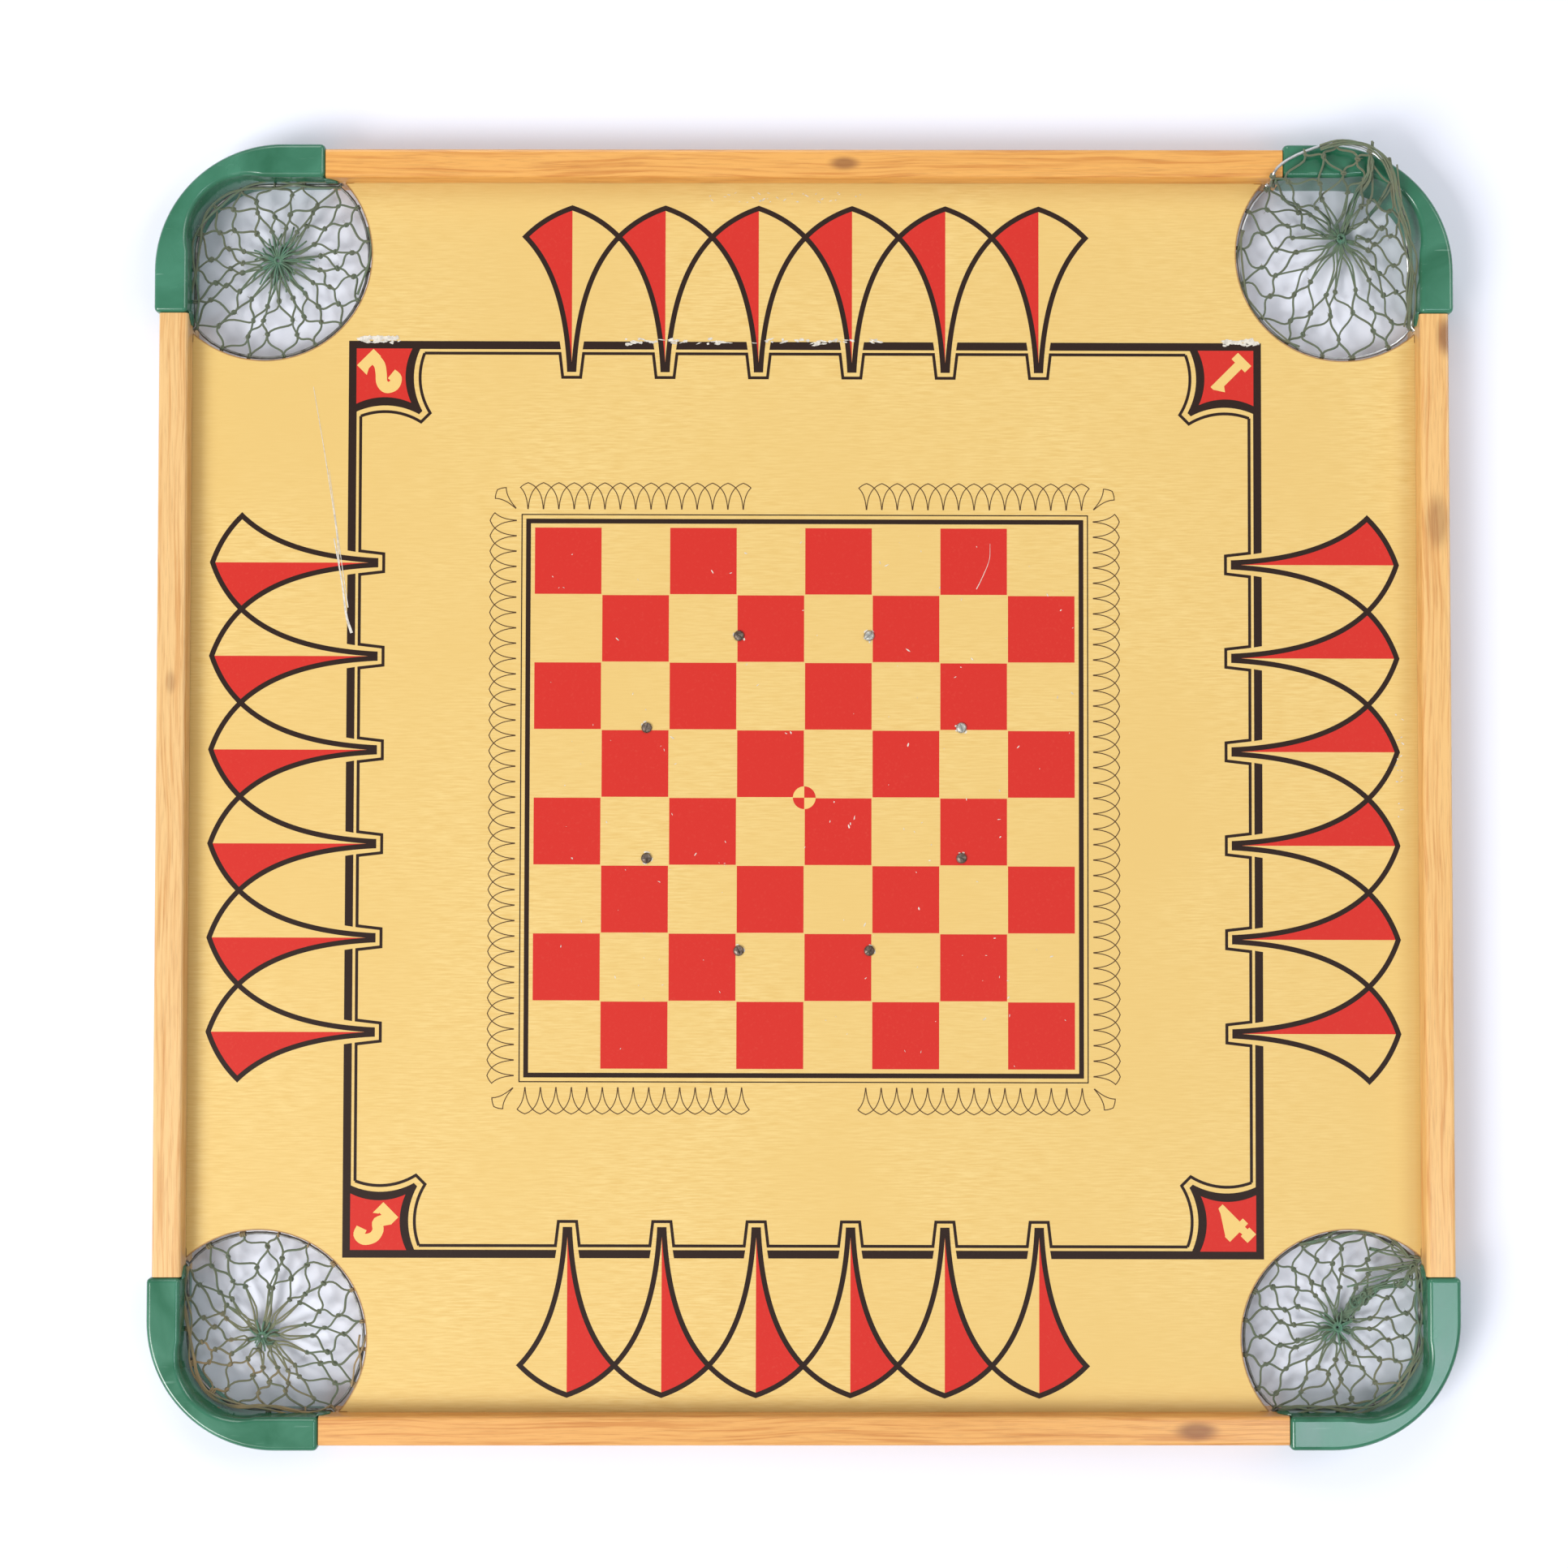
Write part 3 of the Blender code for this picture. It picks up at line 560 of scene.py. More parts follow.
def border_side():
    """The border along the top side: petals, broken band, and the fine line with its tabs."""
    black, red = [], []
    lines, red_half = petal_polygons()
    inner = BORDER_HALF - BAND_WIDTH
    fine = BORDER_HALF - FINE_LINE_IN
    necks = [(k - (PETALS - 1) / 2) * PETAL_PITCH for k in range(PETALS)]
    fine_route = []
    for u in necks:
        black += moved(lines, (u, 0))
        red.append([point + Vector((u, 0)) for point in red_half])
        fine_route += [(u - TAB[0], fine), (u - TAB[1], fine - TAB[2]),
                       (u + TAB[1], fine - TAB[2]), (u + TAB[0], fine)]
    outer_gap, inner_gap = NECK_GAP
    edges = [-BORDER_HALF] + necks + [BORDER_HALF]
    for k, (a, b) in enumerate(zip(edges, edges[1:])):
        left = (a, a) if k == 0 else (a + outer_gap, a + inner_gap)
        right = (b, b - BAND_WIDTH) if k == PETALS else (b - outer_gap, b - inner_gap)
        black.append([(left[0], BORDER_HALF), (left[1], inner), (right[1], inner),
                      (right[0], BORDER_HALF)])
    end = BORDER_HALF - FINE_LINE_TURN
    black += stroke([(-end, fine)] + fine_route + [(end, fine)], FINE_LINE)
    return black, red


def corner_box():
    """The box in the +U +V corner of the border: black surround and red field."""
    def spot(x, y):
        return Vector((BORDER_HALF - x, BORDER_HALF - y))

    band_end = BAND_WIDTH - 0.5
    outer = arc_through(spot(39.4, 4.0), spot(35.8, 19.5), spot(40.6, 38.8), 14)
    outer += arc_through(spot(38.8, 40.6), spot(19.5, 35.8), spot(4.0, 39.4), 14)
    black = [[spot(band_end, band_end)] + outer]
    field = arc_through(spot(34.9, 4.2), spot(31.2, 20.4), spot(34.3, 34.4), 14)
    field += arc_through(spot(34.3, 34.4), spot(20.4, 31.2), spot(4.2, 34.9), 14)[1:]
    red = [[spot(4.2, 4.2)] + field]
    fine = arc_through(spot(FINE_LINE_TURN, FINE_LINE_IN), spot(39.2, 19.7), spot(44.9, 39.9), 14)
    fine += arc_through(spot(39.9, 44.9), spot(19.7, 39.2), spot(FINE_LINE_IN, FINE_LINE_TURN), 14)
    return black, red, stroke(fine, FINE_LINE)


def numeral(number):
    """Block numerals in a plain stencil manner, 24 mm tall, upright about the origin."""
    if number == 1:
        return [[(-2.5, -12.2), (2.5, -12.2), (2.5, 12.0), (0.4, 12.0), (-5.2, 8.4), (-2.5, 6.4)],
                [(-5.2, -12.2), (5.2, -12.2), (5.2, -7.2), (-5.2, -7.2)]]
    if number == 2:
        bow = smooth_route([(-3.6, 4.6), (-3.7, 8.2), (0.0, 10.0), (3.6, 8.0), (3.4, 4.2),
                            (0.2, 0.4), (-2.4, -3.4), (-3.0, -7.4)], 5)
        return stroke(bow, 6.2) + [[(-6.4, -12.2), (6.4, -12.2), (6.4, -4.6), (3.0, -6.4),
                                    (-6.4, -6.4)]]
    if number == 3:
        bow = smooth_route([(3.6, 8.6), (0.2, 2.6), (3.2, -0.6), (4.1, -5.0), (1.4, -9.4),
                            (-2.4, -9.6), (-4.0, -6.0)], 5)
        return stroke(bow, 6.0) + [[(-5.6, 6.6), (6.0, 6.6), (6.0, 12.2), (-5.6, 12.2)],
                                   [(-5.6, 4.0), (-3.0, 6.0), (-3.0, 8.0), (-5.6, 8.0)]]
    return [[(2.0, 12.2), (5.2, 12.2), (5.2, -5.6), (1.0, -5.6), (1.0, 10.0)],
            [(2.6, 12.2), (-6.4, -1.6), (-3.2, -3.4), (5.0, 9.6)],
            [(-6.4, -5.0), (7.6, -5.0), (7.6, -1.0), (-6.4, -1.0)],
            [(0.0, -12.2), (6.6, -12.2), (6.6, -7.0), (0.0, -7.0)],
            [(1.2, -8.0), (5.2, -8.0), (5.2, -3.0), (1.2, -3.0)]]


def fan():
    """A small closed fan about u = 0, its point at v = 0 and its head outwards."""
    height = FAN_PITCH * 1.745
    top, side = lancet(FAN_PITCH, height, 0.0, 0.12, 12)
    outline = side[::-1] + top[::-1][1:] + mirrored(top)[1:] + mirrored(side)[1:]
    return stroke(outline, FAN_LINE)


def frieze():
    """Fans round the checkerboard, with a gap in the middle of the top and bottom rows."""
    shape = fan()
    lines = []
    foot = CHECKER_HALF + FAN_TIP_OUT
    for quarter in range(4):
        across = quarter % 2 == 0
        if across:
            spots = [side * (FAN_ROW_GAP + FAN_PITCH * (k + 0.5))
                     for side in (-1, 1) for k in range(FANS_HALF_ROW)]
        else:
            spots = [(k - (FANS_SIDE - 1) / 2) * FAN_PITCH for k in range(FANS_SIDE)]
        row = []
        for u in spots:
            row += moved(shape, (u, foot))
        row += moved(shape, (foot + 0.4, foot + 0.4), -45.0)
        lines += turned_by(row, quarter)
    return lines


def rectangle(left, bottom, right, top):
    return [(left, bottom), (right, bottom), (right, top), (left, top)]


def checkerboard():
    """The red squares, the black frame round them, and the yellow and red of the roundel."""
    red, black = [], []
    for row in range(CELLS):
        for column in range(CELLS):
            if (row + column) % 2 == 0:
                left = -CHECKER_HALF + column * CELL
                top = CHECKER_HALF - row * CELL
                red.append(rectangle(left + SQUARE_INSET, top - CELL + SQUARE_INSET,
                                     left + CELL - SQUARE_INSET, top - SQUARE_INSET))
    for inner, outer in (CHECKER_BAND, (CHECKER_LINE_OUT, CHECKER_LINE_OUT + CHECKER_LINE)):
        low, high = CHECKER_HALF + inner, CHECKER_HALF + outer
        for quarter in range(4):
            black += turned_by([[(-high, high), (-low, low), (low, low), (high, high)]], quarter)
    quarters = []
    for quarter in range(4):
        wedge = [Vector((0, 0))] + arc((0, 0), ROUNDEL_R, 90 * quarter, 90 * quarter + 90, 10)
        quarters.append(wedge)
    red += [quarters[0], quarters[2]]
    return red, black, [quarters[1], quarters[3]]


# ---------------------------------------------------------------- materials

def material_ink(name, ink, scuff_code, roughness):
    """Screen-printed enamel ink: even and satin, a little dusty, thinned where it is rubbed."""
    mat, tree, shader = new_material(name, Roughness=roughness, IOR=1.45, Coat_Weight=0.04,
                                     Coat_Roughness=0.3, Specular_IOR_Level=0.3)
    place = object_place(tree)
    cloud = noise(tree, place, 22.0, Detail=6.0, Roughness=0.6)
    grit = noise(tree, place, 1.6, Detail=3.0, Roughness=0.7)
    worn = number_math(tree, "MULTIPLY", cloud, remap(tree, grit, 0.55, 0.85, 0.0, 0.35))
    use(tree, shader, Base_Color=mix(tree, worn, ink, scuff_code))
    return mat


def material_panel(yellow_enamel):
    """Hardboard under yellow enamel: fine drawn-out streaks along X, brown fibre on cut edges."""
    mat, tree, shader = new_material("yellow_enamelled_hardboard", Roughness=0.5, IOR=1.45,
                                     Coat_Weight=0.12, Coat_Roughness=0.3)
    place = object_place(tree)
    streak = noise(tree, mapped(tree, place, Scale=(0.075, 1.0, 1.0)), 0.9, Detail=4.0,
                   Roughness=0.6)
    streak_share = remap(tree, streak, 0.36, 0.64)
    broad = noise(tree, place, 120.0, Detail=5.0, Roughness=0.55)
    enamel = mix(tree, streak_share, yellow_enamel, "#E4C67F")
    aged = mix(tree, remap(tree, broad, 0.3, 0.7), enamel, "#DBB86C")

    # dirt and painted shade of the rails in the left, right and front edges, against the rails
    folded = vector_math(tree, "ABSOLUTE", place)
    forward = number_math(tree, "MULTIPLY", axis_of(tree, place, "Y"), -1.0)
    edge = number_math(tree, "MAXIMUM", axis_of(tree, folded, "X"), forward)
    dirt_and_shade = remap(tree, edge, *EDGE_DIRT_AND_SHADE, 0.0, 0.2, smooth=True)
    dirt_and_shade_colour = mix(tree, dirt_and_shade, aged, "#A87F42")

    # bare fibre on a thin rim round the pocket holes and on every face that isn't level
    fibre = mix(tree, streak_share, "#6E4526", "#A06A3C")
    hole_middle = (HALF - HOLE_IN) * MM
    from_hole = vector_math(tree, "DISTANCE", folded, (hole_middle, hole_middle, PANEL_TOP * MM))
    rim = remap(tree, from_hole, (HOLE_R + 0.35) * MM, (HOLE_R + 0.9) * MM, 0.8, 0.0)
    normal = add_node(tree, "ShaderNodeNewGeometry").outputs["Normal"]
    level = number_math(tree, "ABSOLUTE", axis_of(tree, normal, "Z"))
    colour = mix(tree, level, fibre, mix(tree, rim, dirt_and_shade_colour, fibre))
    use(tree, shader, Base_Color=colour, Normal=bumped(tree, streak, 0.00004, 0.35))
    return mat


def material_pine(side, along_x, pale_code, dark_code, knots):
    """Lacquered pine: straw wood with darker late-wood lines, small knots and a soft gloss."""
    mat, tree, shader = new_material(f"lacquered_pine_{side}", Roughness=0.38, IOR=1.5,
                                     Coat_Weight=0.35, Coat_Roughness=0.22)
    place = object_place(tree)
    # grain runs along X here, and the shift gives the rails different figures
    grain = mapped(tree, place, Rotation=(0, 0, 0 if along_x else math.pi / 2),
                   Location=(0.013 * len(side), 0.0, 0.0))
    waver = vector_math(tree, "MULTIPLY", noise(tree, grain, 130.0, "Color", Detail=2.0),
                        (0.0, 0.012, 0.012))
    ringed = mapped(tree, vector_math(tree, "ADD", grain, waver), Scale=(0.02, 1.0, 0.55))
    rings = noise(tree, ringed, 1.7, Detail=3.0, Roughness=0.55)
    pores = noise(tree, mapped(tree, grain, Scale=(0.05, 1.0, 1.0)), 0.7, Detail=3.0)
    wood = mix(tree, remap(tree, rings, 0.42, 0.72, smooth=True), pale_code, dark_code)
    colour = mix(tree, remap(tree, pores, 0.5, 0.75, 0.0, 0.3), wood, "#9A5B26")
    squash = (0.45, 1.0, 1.0) if along_x else (1.0, 0.45, 1.0)
    for spot, size, strength in knots:
        away = vector_math(tree, "SUBTRACT", place, Vector(spot) * MM)
        far = vector_math(tree, "LENGTH", vector_math(tree, "MULTIPLY", away, squash))
        knot = remap(tree, far, size * MM * 0.3, size * MM, strength, 0.0, smooth=True)
        colour = mix(tree, knot, colour, "#7A4420")
    use(tree, shader, Base_Color=colour, Normal=bumped(tree, rings, 0.0001, 0.3))
    return mat


def material_corner(green_plastic):
    """Moulded green polystyrene: glossy, cloudy with handling, pale hairline scuffs, specks."""
    mat, tree, shader = new_material("moulded_green_polystyrene", IOR=1.55, Coat_Weight=0.3,
                                     Coat_Roughness=0.12)
    place = object_place(tree)
    cloud = noise(tree, place, 38.0, Detail=4.0, Roughness=0.5, Distortion=0.6)
    green = mix(tree, remap(tree, cloud, 0.35, 0.68), green_plastic, "#3B7D61")
    hairline = noise(tree, mapped(tree, place, Rotation=(0, 0, 0.5), Scale=(0.08, 1.0, 1.0)),
                     1.8, Detail=2.0)
    scuffed = mix(tree, remap(tree, hairline, 0.68, 0.8, 0.0, 0.45), green, "#86AE9B")
    cells = add_node(tree, "ShaderNodeTexVoronoi", {"Vector": place, "Scale": 1000 / 30.0},
                     feature="F1").outputs["Distance"]
    colour = mix(tree, remap(tree, cells, 0.02, 0.045, 0.7, 0.0), scuffed, "#7C5A38")
    use(tree, shader, Base_Color=colour, Roughness=remap(tree, cloud, 0.3, 0.7, 0.17, 0.3),
        Normal=bumped(tree, cloud, 0.0006, 0.25))
    return mat


def material_twine():
    """Two-ply cotton twine, dyed green: twisted plies with painted shade in their grooves, matt and fuzzy,
    faded away from the tie.
    """
    mat, tree, shader = new_material("green_cotton_twine", Roughness=0.92, IOR=1.45,
                                     Sheen_Weight=0.25, Sheen_Roughness=0.5)
    place = object_place(tree)
    strand = add_node(tree, "ShaderNodeUVMap", uv_map="strand").outputs[0]
    fade, tan = (add_node(tree, "ShaderNodeAttribute", attribute_name=name).outputs["Fac"]
                 for name in ("fade", "tan"))
    slant = mapped(tree, strand, Rotation=(0, 0, math.radians(38)))
    plies = add_node(tree, "ShaderNodeTexWave",
                     {"Vector": slant, "Scale": 0.55, "Distortion": 0.6},
                     bands_direction="X").outputs["Fac"]
    mottle = noise(tree, place, 5.0, Detail=5.0, Roughness=0.65)
    dyed = mix(tree, fade, "#5A9679", "#6E7E64")
    soiled = mix(tree, remap(tree, mottle, 0.35, 0.75, 0.0, 0.6), dyed, "#7A7657")
    patches = remap(tree, noise(tree, place, 26.0, Detail=2.0), 0.32, 0.5)
    tanned = mix(tree, number_math(tree, "MULTIPLY", tan, patches), soiled, "#B59A6C")
    # darker in the grooves between the twisted plies: painted shade
    colour = mix(tree, 1.0, tanned, remap(tree, plies, start=0.72), "MULTIPLY")
    use(tree, shader, Base_Color=colour, Normal=bumped(tree, plies, 0.0003, 0.8))
    return mat


def material_metal(name, bright_code, dull_code, roughness, grain_mm, tarnish):
    """Plated or drawn steel: bright skin with a darker tarnish in patches."""
    mat, tree, shader = new_material(name, Metallic=1.0)
    patch = noise(tree, object_place(tree), grain_mm, Detail=5.0, Roughness=0.6)
    share = remap(tree, patch, 0.62 - tarnish * 0.4, 0.78 - tarnish * 0.2)
    use(tree, shader, Base_Color=mix(tree, share, bright_code, dull_code),
        Roughness=remap(tree, patch, 0.3, 0.7, roughness, roughness + 0.25))
    return mat


def material_rubber():
    """Black rubber tube: matt, a little grey with dust."""
    mat, tree, shader = new_material("black_rubber", Roughness=0.8, IOR=1.52)
    dust = noise(tree, object_place(tree), 1.5, Detail=5.0)
    use(tree, shader, Base_Color=mix(tree, dust, "#1B1B1B", "#3A3835"),
        Normal=bumped(tree, dust, 0.0001, 0.3))
    return mat


def material_bare():
    """Where enamel has flaked off: chalky primer with grey dirt in it."""
    mat, tree, shader = new_material("bare_primer", Roughness=0.85, IOR=1.45)
    dirt = noise(tree, object_place(tree), 2.2, Detail=6.0, Roughness=0.7)
    use(tree, shader, Base_Color=mix(tree, remap(tree, dirt, 0.4, 0.72), "#E2DBCD", "#A8A096"))
    return mat


def material_floor():
    """Plain pale paper sweep: matt white with a cool cast."""
    return new_material("pale_paper", Base_Color=linear("#EDEFF9"), Roughness=0.9)[0]


def paint_nodes(prefix, mat):
    """Give every CAD node whose name starts with prefix a material."""
    for name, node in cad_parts.items():
        if name.startswith(prefix):
            for place in node.material_slots:
                place.material = mat


# ---------------------------------------------------------------- pockets

def in_pocket(along_x, along_y):
    """A point of pocket 1 from its distances in from the board's +X and +Y outer faces."""
    return Vector((PIVOT_IN - along_x, PIVOT_IN - along_y))


def pocket_matrix(number):
    """Pocket coordinates in metres to the board's: pocket 1 at +X +Y, the rest anticlockwise."""
    middle = Vector((POCKET_FROM_MIDDLE, POCKET_FROM_MIDDLE, 0)) * MM
    return Matrix.Rotation((number - 1) * math.pi / 2, 4, "Z") @ Matrix.Translation(middle)


def wall_bend():
    """The middle of the bend in a corner piece's inner wall."""
    return in_pocket(CORNER_WALL_IN + CORNER_INNER_R, CORNER_WALL_IN + CORNER_INNER_R)


def wire_bend():
    """Where a wire bends out of the +Y rail; its other bend mirrors this one in x = y."""
    return in_pocket(PIVOT_ALONG, FACE_IN) + PIN_STANDOFF * math.sqrt(0.5) * Vector((1, -1))


def hoop_line():
    """The fixed wire's middle line, from its bend at the +Y rail to its bend at the +X rail."""
    centre = in_pocket(HOLE_IN, HOLE_IN)
    out = wire_bend() - centre
    start = math.degrees(math.atan2(out.y, out.x))
    end = 90 - start + 360
    steps = 30
    line = []
    for step in range(steps + 1):
        along = step / steps
        near_end = max(0.0, 1 - min(along, 1 - along) * 12) ** 2
        radius = HOOP_R + (out.length - HOOP_R) * near_end
        angle = math.radians(start + (end - start) * along)
        line.append(Vector((centre.x + radius * math.cos(angle),
                            centre.y + radius * math.sin(angle), HOOP_Z)))
    return line


def bail_line(sprung):
    """The moving wire's middle line, from the +Y rail round the corner to the +X rail."""
    bend = wire_bend()
    ends = [Vector((bend.x, bend.y, BAIL_Z)), Vector((bend.y, bend.x, BAIL_Z))]
    if sprung:
        bow = [Vector((*in_pocket(x, y), z)) for x, y, z in SPRUNG_BAIL]
        return smooth_route([ends[0]] + bow + [ends[1]], 2)
    bow = arc(wall_bend(), CORNER_INNER_R - BAIL_OFF_WALL, 90, 0, 16)
    return [ends[0]] + [Vector((*spot, BAIL_Z)) for spot in bow] + [ends[1]]


class Line:
    """A closed line that can be read at any share of its length."""

    def __init__(self, points):
        self.points = points + [points[0]]
        self.marks = [0.0]
        for a, b in zip(self.points, self.points[1:]):
            self.marks.append(self.marks[-1] + (b - a).length)

    def at(self, share):
        target = (share % 1.0) * self.marks[-1]
        for a, b, low, high in zip(self.points, self.points[1:], self.marks, self.marks[1:]):
            if target <= high:
                return a.lerp(b, (target - low) / max(high - low, 1e-9))
        return self.points[-1].copy()

    def run(self, share, reach):
        """Its direction about a share, taken over reach to each side."""
        return (self.at(share + reach) - self.at(share - reach)).normalized()


def outside_wall(spot):
    """How far a point lies beyond the corner piece's inner wall, negative inside the pocket."""
    centre = wall_bend()
    return Vector((max(spot.x - centre.x, 0.0), max(spot.y - centre.y, 0.0))).length \
        - CORNER_INNER_R


class NetSurface:
    """The hanging bag of one pocket, in pocket millimetres."""

    def __init__(self, number):
        self.mouth = Line(hoop_line() + bail_line(number == 1)[::-1])
        self.gather = in_pocket(*GATHERS[number - 1])
        self.swirl = NET_SWIRLS[number - 1]

    def at(self, share, depth):
        """A point at a share of the way round the mouth and a depth from 0, rim, to 1, gather."""
        rim = self.mouth.at(share + self.swirl * depth * depth)
        flat = rim.xy.lerp(self.gather, depth)
        if outside_wall(rim.xy) <= -1.0:
            return Vector((*flat, NET_LOW_Z + (rim.z - NET_LOW_Z) * (1 - depth) ** 1.8))
        # the net lies on the corner piece, then runs straight down to its gather
        lip = 0.0
        while lip < 0.6 and outside_wall(rim.xy.lerp(self.gather, lip)) > -1.0:
            lip += 0.01
        if depth < lip:
            return Vector((*flat, rim.z + (NET_LAID_Z - rim.z) * (depth / max(lip, 0.01))))
        past = (depth - lip) / (1 - lip)
        return Vector((*flat, NET_LOW_Z + (NET_LAID_Z - NET_LOW_Z) * (1 - past) ** 1.5))


def random_step(draw, *rise):
    """A random vector, within 1 either way along X and Y, and within rise, or 0, along Z."""
    return Vector((draw.uniform(-1, 1), draw.uniform(-1, 1), draw.uniform(*rise) if rise else 0))


def random_tilt(draw, most):
    """A turn about X and about Y of up to most radians either way."""
    return Matrix.Rotation(draw.uniform(-most, most), 3, "X") \
        @ Matrix.Rotation(draw.uniform(-most, most), 3, "Y")


def turn_of_twine(middle, aim, wide, deep, points, rise=0.0):
    """A closed ring of points about middle, an ellipse in its own plane, turned by aim."""
    turns = (2 * math.pi * k / points for k in range(points))
    return [middle + aim @ Vector((wide * math.cos(turn), deep * math.sin(turn),
                                   rise * math.sin(turn))) for turn in turns]


def up(height):
    return Vector((0, 0, height))


class Net:
    """One pocket's net: loops on the wires, rows of knotted diamonds, strands to the gather."""

    def __init__(self, number, settings):
        self.draw = random.Random(41 + number)
        self.surface = NetSurface(number)
        self.mouth = self.surface.mouth
        self.centre = Vector((*self.surface.gather, NET_LOW_Z + 1.2))
        self.loops = settings.loops
        self.twine_r = settings.twine / MM / 2
        self.tan = NET_TANS[number - 1]
        self.form = bmesh.new()
        self.form.loops.layers.uv.new("strand")
        self.form.verts.layers.float.new("fade")
        self.form.verts.layers.float.new("tan")
        self.knots = [self.knot_row(row, depth) for row, depth in enumerate(NET_ROWS)]
        self.diamonds()
        self.knot_turns()
        self.rim_turns()
        self.lower_strands()
        self.tie(LOOSE_ENDS[number - 1], LOOSE_END_REACH[number - 1])
        for start, end, strands, spread in LASHINGS[number - 1]:
            self.lash(start, end, strands, spread)
        for way, strands, spread, curls in BUNCHES[number - 1]:
            self.bunch(way, strands, spread, curls)
        self.fuzz()

    def strand(self, points, share, **settings):
        """A length of twine whose thickness is a share of the full one."""
        tube(self.form, points, self.twine_r * share, **settings)

    def knot_row(self, row, depth):
        """The knots of one row, each as its share of the mouth and its place."""
        draw, knots = self.draw, []
        for k in range(self.loops):
            share = (k + 0.5 * (row % 2)) / self.loops
            if row:
                share += draw.uniform(-0.27, 0.27) / self.loops
                spot = self.surface.at(share, depth + draw.uniform(-0.035, 0.035))
                spot += Vector((draw.uniform(-1.9, 1.9), draw.uniform(-1.9, 1.9),
                                draw.uniform(0.0, 1.0)))
            else:
                share += draw.uniform(-0.12, 0.12) / self.loops
                spot = self.mouth.at(share)
            knots.append((share, spot))
        return knots

    def bleached(self, spot):
        """How tan the twine is here: most on the corner piece's side."""
        gather = self.surface.gather
        lean = (spot.x + spot.y - gather.x - gather.y + 12.0) / 45.0
        return self.tan * max(0.05, min(1.0, lean)) * self.draw.choice((0.2, 0.5, 1.0))

    def faded(self, row):
        return max(0.0, min(1.0, (0.95 - NET_ROWS[row]) / 0.35))

    def diamonds(self):
        """From each knot, two bars to the knots of the next row."""
        draw = self.draw
        for row in range(len(NET_ROWS) - 1):
            for k in range(self.loops):
                start = self.knots[row][k][1]
                for step in (-1, 0):
                    target = self.knots[row + 1][(k + step + row % 2) % self.loops][1]
                    span = (target - start).length
                    centre = Vector((*self.surface.gather, start.z))
                    inward_a = (centre - start).normalized()
                    inward_b = (centre - target).normalized()
                    sway = [random_step(draw, -0.2, 0.4) * span * 0.16 for _ in range(2)]
                    lead = span * draw.uniform(0.34, 0.54)
                    a = start + Vector((*inward_a.xy, 0)) * lead + sway[0]
                    b = target - Vector((*inward_b.xy, 0)) * lead + sway[1]
                    a.z = start.z + (target.z - start.z) * 0.33
                    b.z = start.z + (target.z - start.z) * 0.67
                    self.strand(bezier(start, a, b, target, 8), draw.uniform(0.85, 1.05),
                                fade=self.faded(row), tan=self.bleached((start + target) / 2))

    def knot_turns(self):
        """Two turns of twine for each knot, one across the other."""
        draw = self.draw
        for row in range(1, len(NET_ROWS)):
            for _, spot in self.knots[row]:
                size = self.twine_r * draw.uniform(1.55, 2.1)
                axis = random_step(draw, -0.4, 0.4).normalized()
                for lean in (0.0, 1.3):
                    aim = axis.to_track_quat("Z", "Y").to_matrix() @ Matrix.Rotation(lean, 3, "X")
                    self.strand(turn_of_twine(spot, aim, size, size * 0.8, 8), 0.85, sides=5,
                                closed=True, fade=self.faded(row), tan=self.bleached(spot))

    def rim_turns(self):
        """Turns of twine round the wires."""
        for share, spot in self.knots[0]:
            run = self.mouth.run(share, 0.002)
            aim = run.to_track_quat("Z", "Y").to_matrix()
            size = WIRE_R + self.twine_r * 0.7
            for step in range(self.draw.choice((1, 2, 2, 3))):
                middle = spot + run * (step - 0.7) * self.twine_r * 1.7
                self.strand(turn_of_twine(middle, aim, size, size, 10, rise=0.25), 0.8, sides=5,
                            closed=True, fade=1.0, tan=self.tan)

    def lower_strands(self):
        """Doubled strands from the last row to the gather, each pair close together."""
        draw, centre, last = self.draw, self.centre, self.knots[-1]
        for index, (_, spot) in enumerate(last):
            first = index - index % 2
            pair = last[first][1] + last[(first + 1) % self.loops][1]
            out = Vector((*(pair.xy / 2 - centre.xy), 0)).normalized()
            across = Vector((-out.y, out.x, 0))
            sway = across * draw.uniform(-1.6, 1.6)
            for side in (-1, 1):
                beside = across * side * self.twine_r
                mid = spot.lerp(centre, 0.45) + sway + beside * draw.uniform(0.8, 2.2)
                mid.z += draw.uniform(0.0, 1.2)
                late = centre + out * 8.0 + sway * 0.2 + beside * (1.8 if index % 2 else 0.6)
                route = smooth_route([spot, mid, late, centre + out * 3.4 + beside * 0.5,
                                      centre + out * 1.8 - up(1.2)], 3)
                self.strand(route, draw.uniform(0.8, 0.95), fade=lambda t: 0.9 * (1 - t) ** 0.5,
                            tan=self.tan * 0.3)

    def tie(self, ends, reach):
        """Turns of twine round the gathered strands, and their splayed ends."""
        draw, centre = self.draw, self.centre
        for step in range(6):
            aim = random_tilt(draw, 0.5)
            size = draw.uniform(1.6, 2.9)
            ring = [spot + up(0.4 * step) for spot in turn_of_twine(centre, aim, size, size, 12)]
            self.strand(ring, 0.95, closed=True)
        for k in range(ends):
            angle = 2 * math.pi * (k + draw.uniform(-0.3, 0.3)) / ends
            out = Vector((math.cos(angle), math.sin(angle), 0))
            across = Vector((-out.y, out.x, 0))
            length = draw.uniform(*reach)
            lift = draw.uniform(1.6, 3.4)
            route = smooth_route([
                centre + out * 0.8 + up(1.2), centre + out * length * 0.35 + up(lift),
                centre + out * length * 0.7 + across * draw.uniform(-1, 1) + up(lift * 0.7),
                centre + out * length + across * draw.uniform(-2.5, 2.5) + up(0.8)], 3)
            self.strand(route, 0.8, sides=5, fade=lambda t: 0.35 * t)

